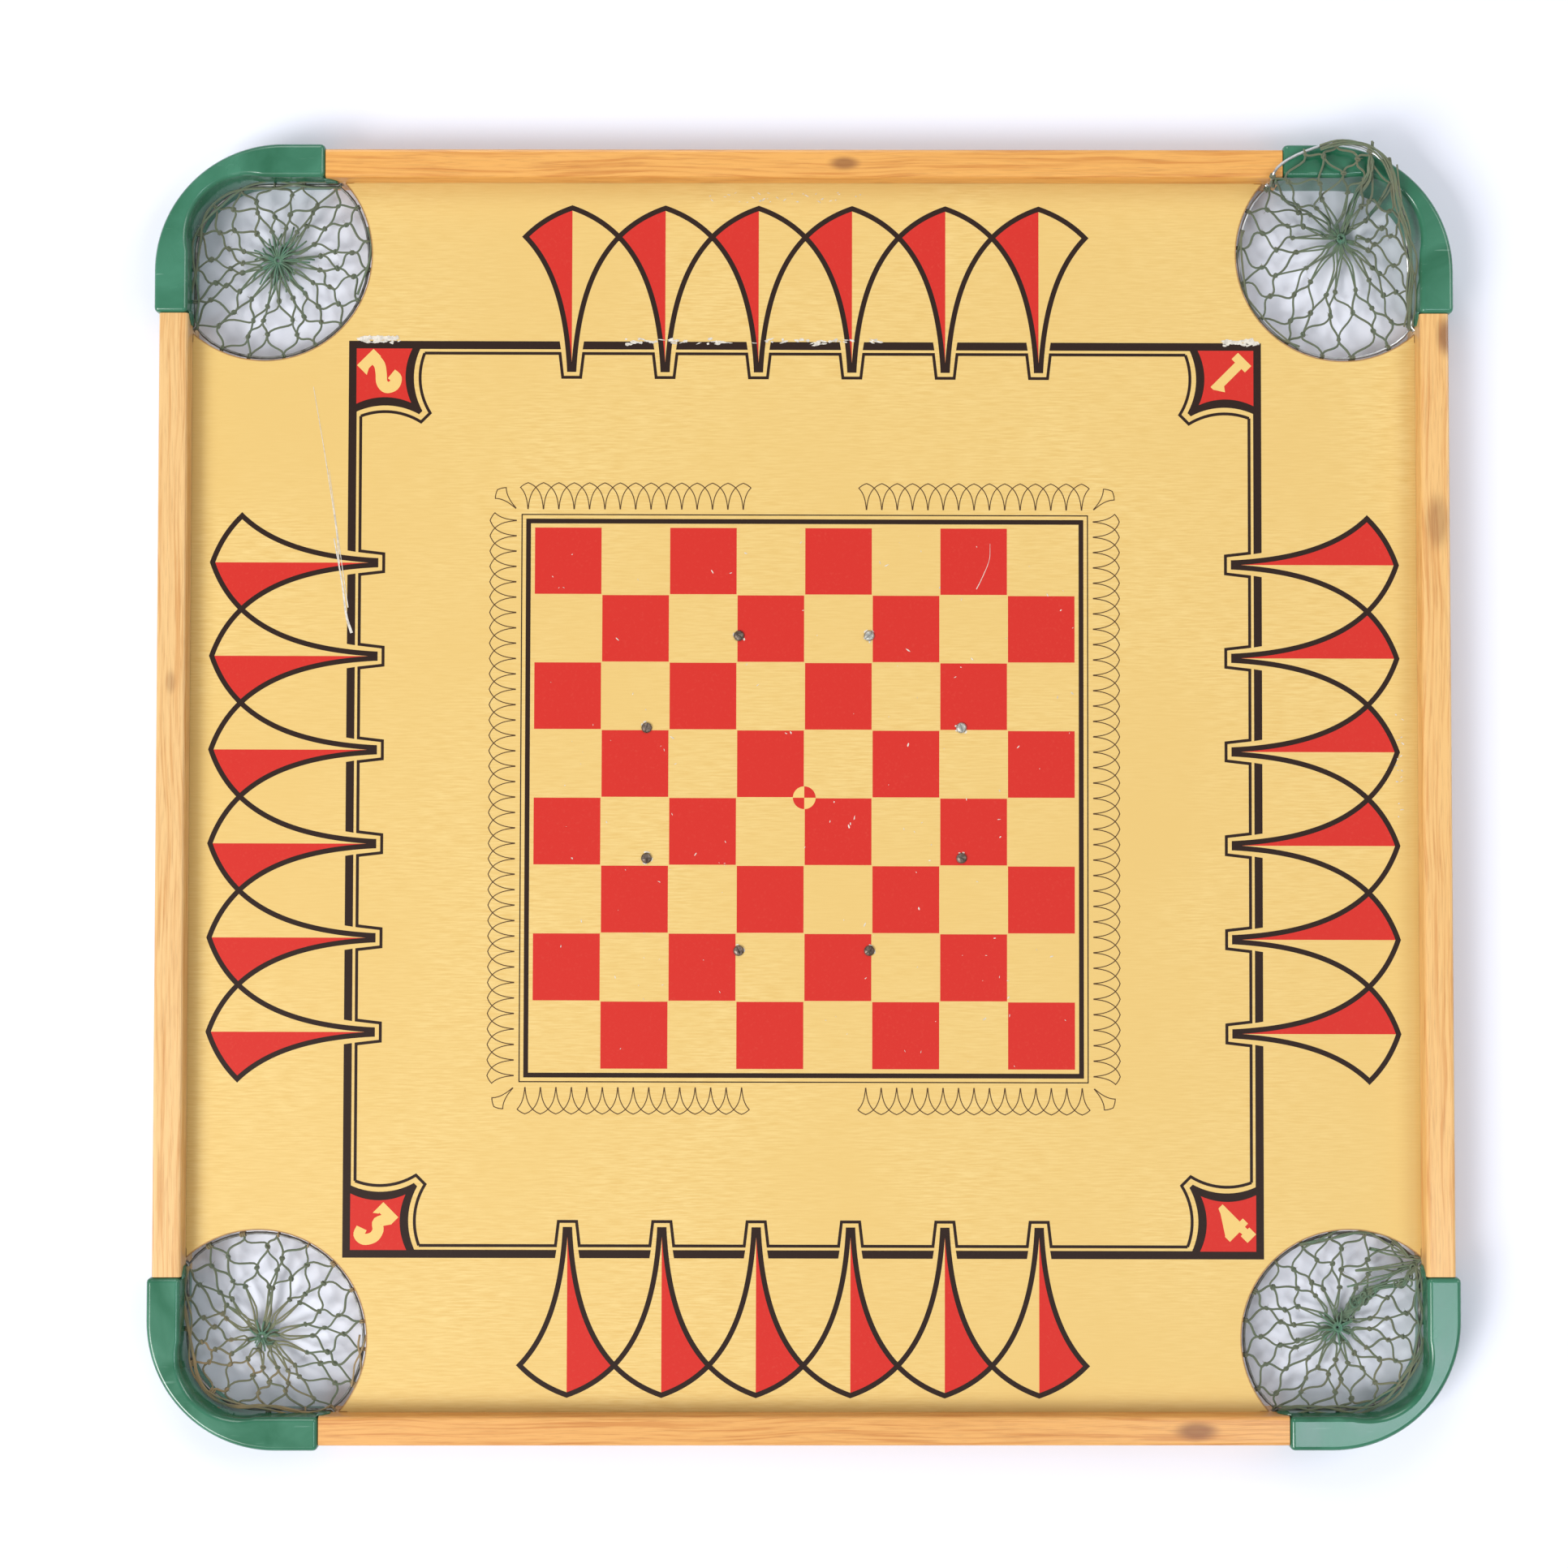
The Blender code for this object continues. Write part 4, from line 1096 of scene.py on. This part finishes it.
    def lash(self, start, end, strands, spread):
        """Rim cords: loose strands that follow a stretch of the wires and cross each other."""
        draw = self.draw
        steps = max(5, int((end - start) * 40))
        for _ in range(strands):
            turn = draw.uniform(0, 2 * math.pi)
            route = []
            for k in range(steps + 1):
                share = start + (end - start) * k / steps
                run = self.mouth.run(share, 0.003)
                side = run.cross(up(1)).normalized()
                angle = turn + k * 0.9
                away = WIRE_R + self.twine_r + draw.uniform(0.0, spread)
                rise = WIRE_R + self.twine_r * (0.6 + abs(math.sin(angle)))
                route.append(self.mouth.at(share) + side * math.cos(angle) * away
                             + side.cross(run) * rise)
            self.strand(smooth_route(route, 3), draw.uniform(0.8, 1.0), sides=5,
                        fade=draw.uniform(0.5, 1.0), tan=self.tan)

    def bunch(self, way, strands, spread, curls):
        """Strands that run together from the gather, with loose curls of twine among them."""
        draw, centre = self.draw, self.centre
        middle = smooth_route([Vector((centre.x + x, centre.y + y, z)) for x, y, z in way], 3)
        for _ in range(strands):
            drift = random_step(draw) * spread
            route = []
            for k, spot in enumerate(middle):
                belly = 0.25 + math.sin(math.pi * (k / (len(middle) - 1)))
                route.append(spot + drift * belly + Vector((draw.uniform(-0.35, 0.35) * spread,
                                                            draw.uniform(-0.35, 0.35) * spread,
                                                            draw.uniform(0.0, 1.6))))
            self.strand(smooth_route(route, 2), draw.uniform(0.8, 1.0), sides=5,
                        fade=lambda t: 0.25 + 0.6 * t, tan=self.tan)
        for _ in range(curls):
            spot = draw.choice(middle[2:]) + up(draw.uniform(0.5, 2.5))
            spot += random_step(draw) * spread
            size = draw.uniform(1.6, 3.2)
            self.strand(turn_of_twine(spot, random_tilt(draw, 0.7), size, size * 0.7, 12), 0.85,
                        sides=5, closed=True, fade=0.5, tan=self.tan)

    def fuzz(self):
        """Loose fibres that stand off the knots."""
        draw = self.draw
        for _, spot in [knot for row in self.knots[1:] for knot in row]:
            for _ in range(3):
                way = random_step(draw, -0.2, 0.8).normalized()
                bend = random_step(draw) * 0.8
                start = spot + way * self.twine_r
                tube(self.form, [start, start + way * 0.9 + bend * 0.3, start + way * 1.8 + bend],
                     lambda t: 0.14 - 0.08 * t, sides=3, fade=1.0, tan=max(self.tan, 0.5))


def build_net(number, settings, mat):
    """Knot one net, and hang it between the board and its moving wire."""
    form = Net(number, settings).form
    to_board = pocket_matrix(number)
    bmesh.ops.transform(form, matrix=to_board, verts=form.verts)
    net = finish_piece(f"twine_net_{number}", form, [mat])
    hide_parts(f"net_{number}")
    hinge = to_board @ Vector((0, 0, BAIL_Z * MM))
    out = to_board @ Vector((NET_BLEND_REACH * MM, NET_BLEND_REACH * MM, BAIL_Z * MM))
    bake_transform(net, "board", f"bail_{number}", start=hinge, end=out)


# ---------------------------------------------------------------- corner pieces

def along_leg(swap, along, across):
    """A point of the leg on the +Y rail, or with swap of the leg on the +X rail."""
    return in_pocket(across, along) if swap else in_pocket(along, across)


def corner_body():
    """A corner piece with softened edges and no holes, as a bmesh about its pocket."""
    outline = arc(in_pocket(CORNER_OUTER_R, CORNER_OUTER_R), CORNER_OUTER_R, 0, 90, 32)
    outline += [in_pocket(CORNER_LEG, 0), in_pocket(CORNER_LEG, CORNER_WALL_IN)]
    outline += arc(wall_bend(), CORNER_INNER_R, 90, 0, 24)
    outline += [in_pocket(CORNER_WALL_IN, CORNER_LEG), in_pocket(0, CORNER_LEG)]
    form = bmesh.new()
    foot = form.faces.new([form.verts.new((spot.x * MM, spot.y * MM, 0.0)) for spot in outline])
    raise_faces(form, [foot], HEIGHT)
    bend = wall_bend()
    for vert in form.verts:
        out = Vector((vert.co.x / MM - bend.x, vert.co.y / MM - bend.y))
        if vert.co.z > 0 and abs(out.length - CORNER_INNER_R) < 0.1 and min(out) > 0.1:
            # the inner wall leans back most at the middle of its bend
            lean = LEAN_BACK * 2 * out.x * out.y / out.length_squared
            vert.co += Vector((*(out.normalized() * lean * MM), 0))
    bmesh.ops.recalc_face_normals(form, faces=form.faces)
    sharp = [edge for edge in form.edges if edge.calc_face_angle(0.0) > math.radians(35)]
    bmesh.ops.bevel(form, geom=sharp, offset=CORNER_ROUNDING * MM, offset_type="OFFSET",
                    affect="EDGES", segments=4, profile=0.5, material=-1, clamp_overlap=True)
    for swap in (False, True):
        corner_apron(form, swap)
    bmesh.ops.recalc_face_normals(form, faces=form.faces)
    return form


def corner_apron(form, swap):
    """Add the thin tongue that runs past a leg on the rail's inner wall, cut low at its end."""
    root, end = CORNER_LEG - 1.0, CORNER_LEG + APRON_REACH
    tongue = [(root, APRON_TOP), (CORNER_LEG + APRON_REACH * 0.35, APRON_TOP - 1.0),
              (end, APRON_FOOT + 4.0), (end, APRON_FOOT), (root, APRON_FOOT)]
    corners = []
    for across in (FACE_IN + 0.05, FACE_IN + APRON_THICK):
        for along, z in tongue:
            flat = along_leg(swap, along, across)
            corners.append(form.verts.new((flat.x * MM, flat.y * MM, z * MM)))
    count = len(tongue)
    form.faces.new(corners[:count])
    form.faces.new(corners[count:])
    for k in range(count):
        after = (k + 1) % count
        form.faces.new((corners[k], corners[after], corners[count + after], corners[count + k]))


def corner_tools(swap):
    """What is cut from one leg: the socket of the rail's tenon, and the brad's hole and sink."""
    def spot(along, across, z):
        return Vector((*along_leg(swap, along, across), z)) * MM

    middle_in = RAIL_SETBACK + RAIL_WIDTH / 2
    half_width = TENON_WIDTH / 2 + GAP
    half_depth = TENON_DEPTH / 2 + GAP
    low = spot(CORNER_LEG - TENON_LENGTH - 2 * GAP, middle_in - half_width, MID_Z - half_depth)
    high = spot(CORNER_LEG + 1.0, middle_in + half_width, MID_Z + half_depth)
    size = [abs(b - a) for a, b in zip(low, high)]
    socket = bmesh.new()
    bmesh.ops.create_cube(socket, size=1.0, matrix=Matrix.Translation((low + high) / 2)
                          @ Matrix.Diagonal((*size, 1.0)))
    tools = [socket]
    for radius, depth in ((BRAD_R + GAP, middle_in), (BRAD_HEAD_R + GAP, BRAD_SINK_DEPTH)):
        start, end = spot(BRAD_ALONG, -1.0, MID_Z), spot(BRAD_ALONG, depth, MID_Z)
        aim = (end - start).to_track_quat("Z", "Y").to_matrix().to_4x4()
        drill = bmesh.new()
        bmesh.ops.create_cone(drill, cap_ends=True, segments=20, radius1=radius * MM,
                              radius2=radius * MM, depth=(end - start).length,
                              matrix=Matrix.Translation((start + end) / 2) @ aim)
        tools.append(drill)
    return tools


def build_corner(number, mat):
    """A moulded corner piece with soft edges, its rail sockets and its brad holes."""
    body = add_object("corner_blank", mesh_of("corner_blank", corner_body()))
    cutters = []
    for tool in corner_tools(False) + corner_tools(True):
        cutter = add_object("corner_tool", mesh_of("corner_tool", tool))
        cut = body.modifiers.new("cut", "BOOLEAN")
        cut.object = cutter
        cut.operation = "DIFFERENCE"
        cut.solver = "EXACT"
        cutters.append(cutter)
    bpy.context.view_layer.update()
    view = bpy.context.evaluated_depsgraph_get()
    mesh = bpy.data.meshes.new_from_object(body.evaluated_get(view))
    for item in [body] + cutters:
        bpy.data.objects.remove(item, do_unlink=True)
    form = bmesh.new()
    form.from_mesh(mesh)
    bmesh.ops.transform(form, matrix=pocket_matrix(number), verts=form.verts)
    piece = finish_piece(f"moulded_corner_{number}", form, [mat], 32)
    piece.modifiers.new("flat_faces", "WEIGHTED_NORMAL").keep_sharp = True
    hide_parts(f"corner_{number}")
    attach(piece, "board")


# ---------------------------------------------------------------- wear

def flake(draw, centre, length, width, degrees=0.0, points=14):
    """An irregular chip of missing enamel."""
    outline = []
    for k in range(points):
        angle = 2 * math.pi * k / points
        size = draw.uniform(0.55, 1.1)
        outline.append((length / 2 * size * math.cos(angle), width / 2 * size * math.sin(angle)))
    return moved([outline], centre, degrees)[0]


def wear_polygons():
    """Chips and scratches of the playing face, in print millimetres from its middle."""
    draw = random.Random(7)
    chips = []
    for left, right, v in RUBBED_EDGES:
        count = int((right - left) / RUBBED_STEP)
        dense = 1.0 if right - left < 60 else 0.5
        for k in range(count):
            u = left + (right - left) * (k + draw.random()) / count
            if draw.random() < dense:
                chips.append(flake(draw, (u, v + draw.uniform(-1.8, 1.4)), draw.uniform(1.5, 6.0),
                                   draw.uniform(0.5, 1.2 + 1.6 * dense), draw.uniform(-25, 25)))
    for left, right, v in BARE_EDGES:
        for _ in range(7):
            spot = (draw.uniform(left, right), v + draw.uniform(-0.9, 0.9))
            chips.append(flake(draw, spot, draw.uniform(5.0, 11.0), draw.uniform(1.8, 3.4),
                               draw.uniform(-10, 10), 22))
    for across, upward, count in SCUFFS:
        for _ in range(count):
            spot = (draw.uniform(*across), draw.uniform(*upward))
            chips.append(flake(draw, spot, draw.uniform(0.8, 3.2), draw.uniform(0.3, 1.0),
                               draw.uniform(-50, 50), 8))
    for _ in range(SPECKS):
        spot = (draw.uniform(-SPECK_REACH, SPECK_REACH), draw.uniform(-SPECK_REACH, SPECK_REACH))
        size = draw.choice((0.5, 0.7, 0.9, 1.4))
        chips.append(flake(draw, spot, size * draw.uniform(1, 2.6), size * 0.6,
                           draw.uniform(0, 180), 7))
    # bare rings where the bumper screws have been driven
    for k in range(8):
        angle = math.radians(22.5 + 45 * k)
        spot = Vector((BUMPER_CIRCLE_R * math.cos(angle), BUMPER_CIRCLE_R * math.sin(angle)))
        spot -= PRINT_SHIFT
        for _ in range(4 if k in (0, 4, 1) else 2):
            way = draw.uniform(0, 2 * math.pi)
            out = Vector((math.cos(way), math.sin(way))) * (SCREW_HEAD_R + 0.3)
            chips.append(flake(draw, spot + out, draw.uniform(1.4, 3.2), draw.uniform(0.8, 1.6),
                               math.degrees(way) + 90, 9))
    for points, width in SCRATCHES:
        chips += stroke(smooth_route(points, 6), width, ends=(0.25, 0.7))
    return chips


# ---------------------------------------------------------------- settings and operators

class BoardColours(bpy.types.PropertyGroup):
    """Colours a user would change."""
    red: FloatVectorProperty(name="Red ink", description="Squares, petals and corner fields",
                             subtype="COLOR", size=4, min=0, max=1, default=linear("#C92A20"))
    black: FloatVectorProperty(name="Black ink", description="Bands and outlines",
                               subtype="COLOR", size=4, min=0, max=1, default=linear("#261309"))
    yellow: FloatVectorProperty(name="Yellow enamel", description="Ground colour of the panel",
                                subtype="COLOR", size=4, min=0, max=1, default=linear("#D7B265"))
    green: FloatVectorProperty(name="Green plastic", description="Corner pieces",
                               subtype="COLOR", size=4, min=0, max=1, default=linear("#236447"))


class BoardSizes(bpy.types.PropertyGroup):
    """Sizes a user would change."""
    twine: FloatProperty(name="Twine diameter", description="Diameter of the nets' twine",
                         default=1.3 * MM, min=0.4 * MM, max=3 * MM, unit="LENGTH")
    loops: IntProperty(name="Net loops", description="Meshes round a net's mouth",
                       default=18, min=8, max=40)


class BuildStage(bpy.types.Operator):
    """Lay the floor, set the studio light and the camera"""
    bl_idname = "game_board.stage"
    bl_label = "Stage"

    def execute(self, context):
        form = bmesh.new()
        bmesh.ops.create_grid(form, x_segments=2, y_segments=2, size=FLOOR_HALF)
        floor = add_object("floor", mesh_of("floor", form))
        floor.data.materials.append(material_floor())

        world = bpy.data.worlds.new("studio")
        context.scene.world = world
        world.use_nodes = True
        sky = world.node_tree.nodes["Background"]
        sky.inputs["Color"].default_value = linear("#FAFAFF")
        sky.inputs["Strength"].default_value = SKY_STRENGTH
        for name, place, size, power, aim, colour in LIGHTS:
            light = bpy.data.lights.new(name, "AREA")
            light.size = size
            light.energy = power
            light.color = colour
            lamp = add_object(name, light)
            lamp.location = place
            lamp.rotation_euler = (Vector(aim) - Vector(place)).to_track_quat("-Z", "Y").to_euler()

        camera = add_object("camera", bpy.data.cameras.new("camera"))
        camera.data.sensor_width = CAMERA_SENSOR
        camera.data.lens = CAMERA_LENS
        camera.location = Vector(CAMERA_PLACE) * MM
        camera.rotation_euler = CAMERA_TURN
        context.scene.camera = camera
        context.scene.view_settings.view_transform = "Standard"
        return {"FINISHED"}


class BuildPanel(bpy.types.Operator):
    """Finish the hardboard panel"""
    bl_idname = "game_board.panel"
    bl_label = "Panel"

    def execute(self, context):
        paint_nodes("panel", material_panel(context.scene.board_colours.yellow))
        return {"FINISHED"}


class BuildRails(bpy.types.Operator):
    """Finish the four pine rails"""
    bl_idname = "game_board.rails"
    bl_label = "Rails"

    def execute(self, context):
        for side, along_x, pale, dark, knots in (
                ("left", False, "#E4BA7C", "#D19A5A", [((-345, 60, 30), 4, 0.35)]),
                ("right", False, "#E6B772", "#D49854",
                 [((346, 148, 30), 9, 0.45), ((351, 250, 28), 7, 0.8)]),
                ("back", True, "#E4A653", "#CD8739", [((22, 345, 30), 5, 0.7)]),
                ("front", True, "#E0A55B", "#C8843E", [((212, -345, 30), 7, 0.75)])):
            paint_nodes(f"rail_{side}", material_pine(side, along_x, pale, dark, knots))
        return {"FINISHED"}


class BuildCorners(bpy.types.Operator):
    """Model the four moulded corner pieces"""
    bl_idname = "game_board.corners"
    bl_label = "Corners"

    def execute(self, context):
        mat = material_corner(context.scene.board_colours.green)
        for number in range(1, 5):
            build_corner(number, mat)
        return {"FINISHED"}


class BuildPrint(bpy.types.Operator):
    """Print the playing face: border, petals, checkerboard and frieze"""
    bl_idname = "game_board.face_print"
    bl_label = "Face print"

    def execute(self, context):
        colours = context.scene.board_colours
        red_ink = material_ink("red_enamel_ink", colours.red, "#D9705A", 0.45)
        black_ink = material_ink("black_enamel_ink", colours.black, "#4A3A2E", 0.45)
        brown_ink = material_ink("brown_fine_ink", linear("#4E361E"), "#8E7040", 0.5)
        yellow_ink = material_ink("yellow_enamel_ink", linear("#E2BF72"), "#ECD49A", 0.45)
        black, red, fields, yellow = [], [], [], []
        side_black, side_red = border_side()
        box_black, box_red, box_fine = corner_box()
        for quarter in range(4):
            black += turned_by(side_black + box_black + box_fine, quarter)
            red += turned_by(side_red, quarter)
            fields += turned_by(box_red, quarter)
            # numerals stand with their heads to the middle of the board
            spot = BORDER_HALF - BOX_MIDDLE
            yellow += turned_by(moved(numeral(quarter + 1), (spot, spot), 135.0), quarter)
        squares, frames, roundel = checkerboard()
        layers = (("red_ink", red + squares, RED_TOP, red_ink),
                  ("black_ink", black + frames, BLACK_TOP, black_ink),
                  ("corner_field_ink", fields, FIELD_TOP, red_ink),
                  ("frieze_ink", frieze(), BLACK_TOP, brown_ink),
                  ("yellow_ink", yellow + roundel, YELLOW_TOP, yellow_ink))
        for name, polygons, top, mat in layers:
            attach(ink_layer(name, polygons, PANEL_TOP + INK_FOOT, PANEL_TOP + top, [mat]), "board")
        return {"FINISHED"}


class BuildReverse(bpy.types.Operator):
    """Print the reverse face: plain scoring rings and quarter lines"""
    bl_idname = "game_board.reverse_print"
    bl_label = "Reverse print"

    def execute(self, context):
        black_ink = bpy.data.materials["black_enamel_ink"]
        red_ink = bpy.data.materials["red_enamel_ink"]
        black, red = [], []
        for radius, width in REVERSE_RINGS:
            black += stroke(circle(radius), width, closed=True)
        for quarter in range(4):
            turn = Matrix.Rotation(math.radians(45 + 90 * quarter), 2)
            ends = [turn @ Vector((reach, 0)) for reach in (BUMPER_CIRCLE_R + 8, 300)]
            black += stroke(ends, 1.6)
        red += stroke(circle(REVERSE_RED_RING), 6.0, closed=True)
        red.append(arc((0, 0), REVERSE_SPOT_R, 0, 345, 23))
        for name, polygons, mat in (("reverse_black_ink", black, black_ink),
                                    ("reverse_red_ink", red, red_ink)):
            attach(ink_layer(name, polygons, PANEL_FOOT - BLACK_TOP, PANEL_FOOT - INK_FOOT,
                              [mat], askew=False), "board")
        return {"FINISHED"}


class BuildWear(bpy.types.Operator):
    """Chip and scratch the playing face"""
    bl_idname = "game_board.wear"
    bl_label = "Wear"

    def execute(self, context):
        chips = ink_layer("bare_chips", wear_polygons(), PANEL_TOP + INK_FOOT,
                          PANEL_TOP + CHIP_TOP, [material_bare()])
        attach(chips, "board")
        return {"FINISHED"}


class BuildHardware(bpy.types.Operator):
    """Finish the wires, bumper posts and brads"""
    bl_idname = "game_board.hardware"
    bl_label = "Hardware"

    def execute(self, context):
        dull_wire = material_metal("weathered_wire", "#8D8E8A", "#5A554D", 0.42, 5.0, 0.4)
        paint_nodes("net_hoop", dull_wire)
        paint_nodes("net_bail", dull_wire)
        bright_wire = material_metal("galvanised_wire", "#C9CBCB", "#84807A", 0.28, 6.0, 0.1)
        paint_nodes("net_hoop_1", bright_wire)
        paint_nodes("net_bail_1", bright_wire)
        dark = material_metal("tarnished_screw_steel", "#8C7F74", "#4E3F38", 0.4, 2.5, 0.6)
        light = material_metal("zinc_plated_screw_steel", "#B9B8B0", "#77706A", 0.35, 2.5, 0.2)
        for number in range(1, 9):
            paint_nodes(f"bumper_screw_{number}", light if number in (1, 2) else dark)
        paint_nodes("bumper_nut", dark)
        paint_nodes("bumper_sleeve", material_rubber())
        paint_nodes("corner_brad", material_metal("bright_brad_steel", "#A9A39B", "#6A5C50",
                                                  0.35, 2.0, 0.3))
        return {"FINISHED"}


class BuildNets(bpy.types.Operator):
    """Knot the four twine nets"""
    bl_idname = "game_board.nets"
    bl_label = "Nets"

    def execute(self, context):
        mat = material_twine()
        for number in range(1, 5):
            build_net(number, context.scene.board_sizes, mat)
        return {"FINISHED"}


OPERATORS = (BuildStage, BuildPanel, BuildRails, BuildCorners, BuildPrint, BuildReverse,
             BuildWear, BuildHardware, BuildNets)


class BoardSidebar(bpy.types.Panel):
    """Sizes, colours and steps of the board"""
    bl_idname = "VIEW3D_PT_game_board"
    bl_label = "Game board"
    bl_space_type = "VIEW_3D"
    bl_region_type = "UI"
    bl_category = "Game board"

    def draw(self, context):
        column = self.layout.column()
        sizes, colours = context.scene.board_sizes, context.scene.board_colours
        for name in ("twine", "loops"):
            column.prop(sizes, name)
        for name in ("red", "black", "yellow", "green"):
            column.prop(colours, name)
        for operator in OPERATORS:
            column.operator(operator.bl_idname)


CLASSES = (BoardColours, BoardSizes) + OPERATORS + (BoardSidebar,)


def register():
    for item in CLASSES:
        bpy.utils.register_class(item)
    bpy.types.Scene.board_colours = PointerProperty(type=BoardColours)
    bpy.types.Scene.board_sizes = PointerProperty(type=BoardSizes)


def unregister():
    del bpy.types.Scene.board_sizes
    del bpy.types.Scene.board_colours
    for item in reversed(CLASSES):
        bpy.utils.unregister_class(item)


def main():
    register()
    for operator in OPERATORS:
        group, name = operator.bl_idname.split(".")
        getattr(getattr(bpy.ops, group), name)()


if __name__ == "__main__":
    main()
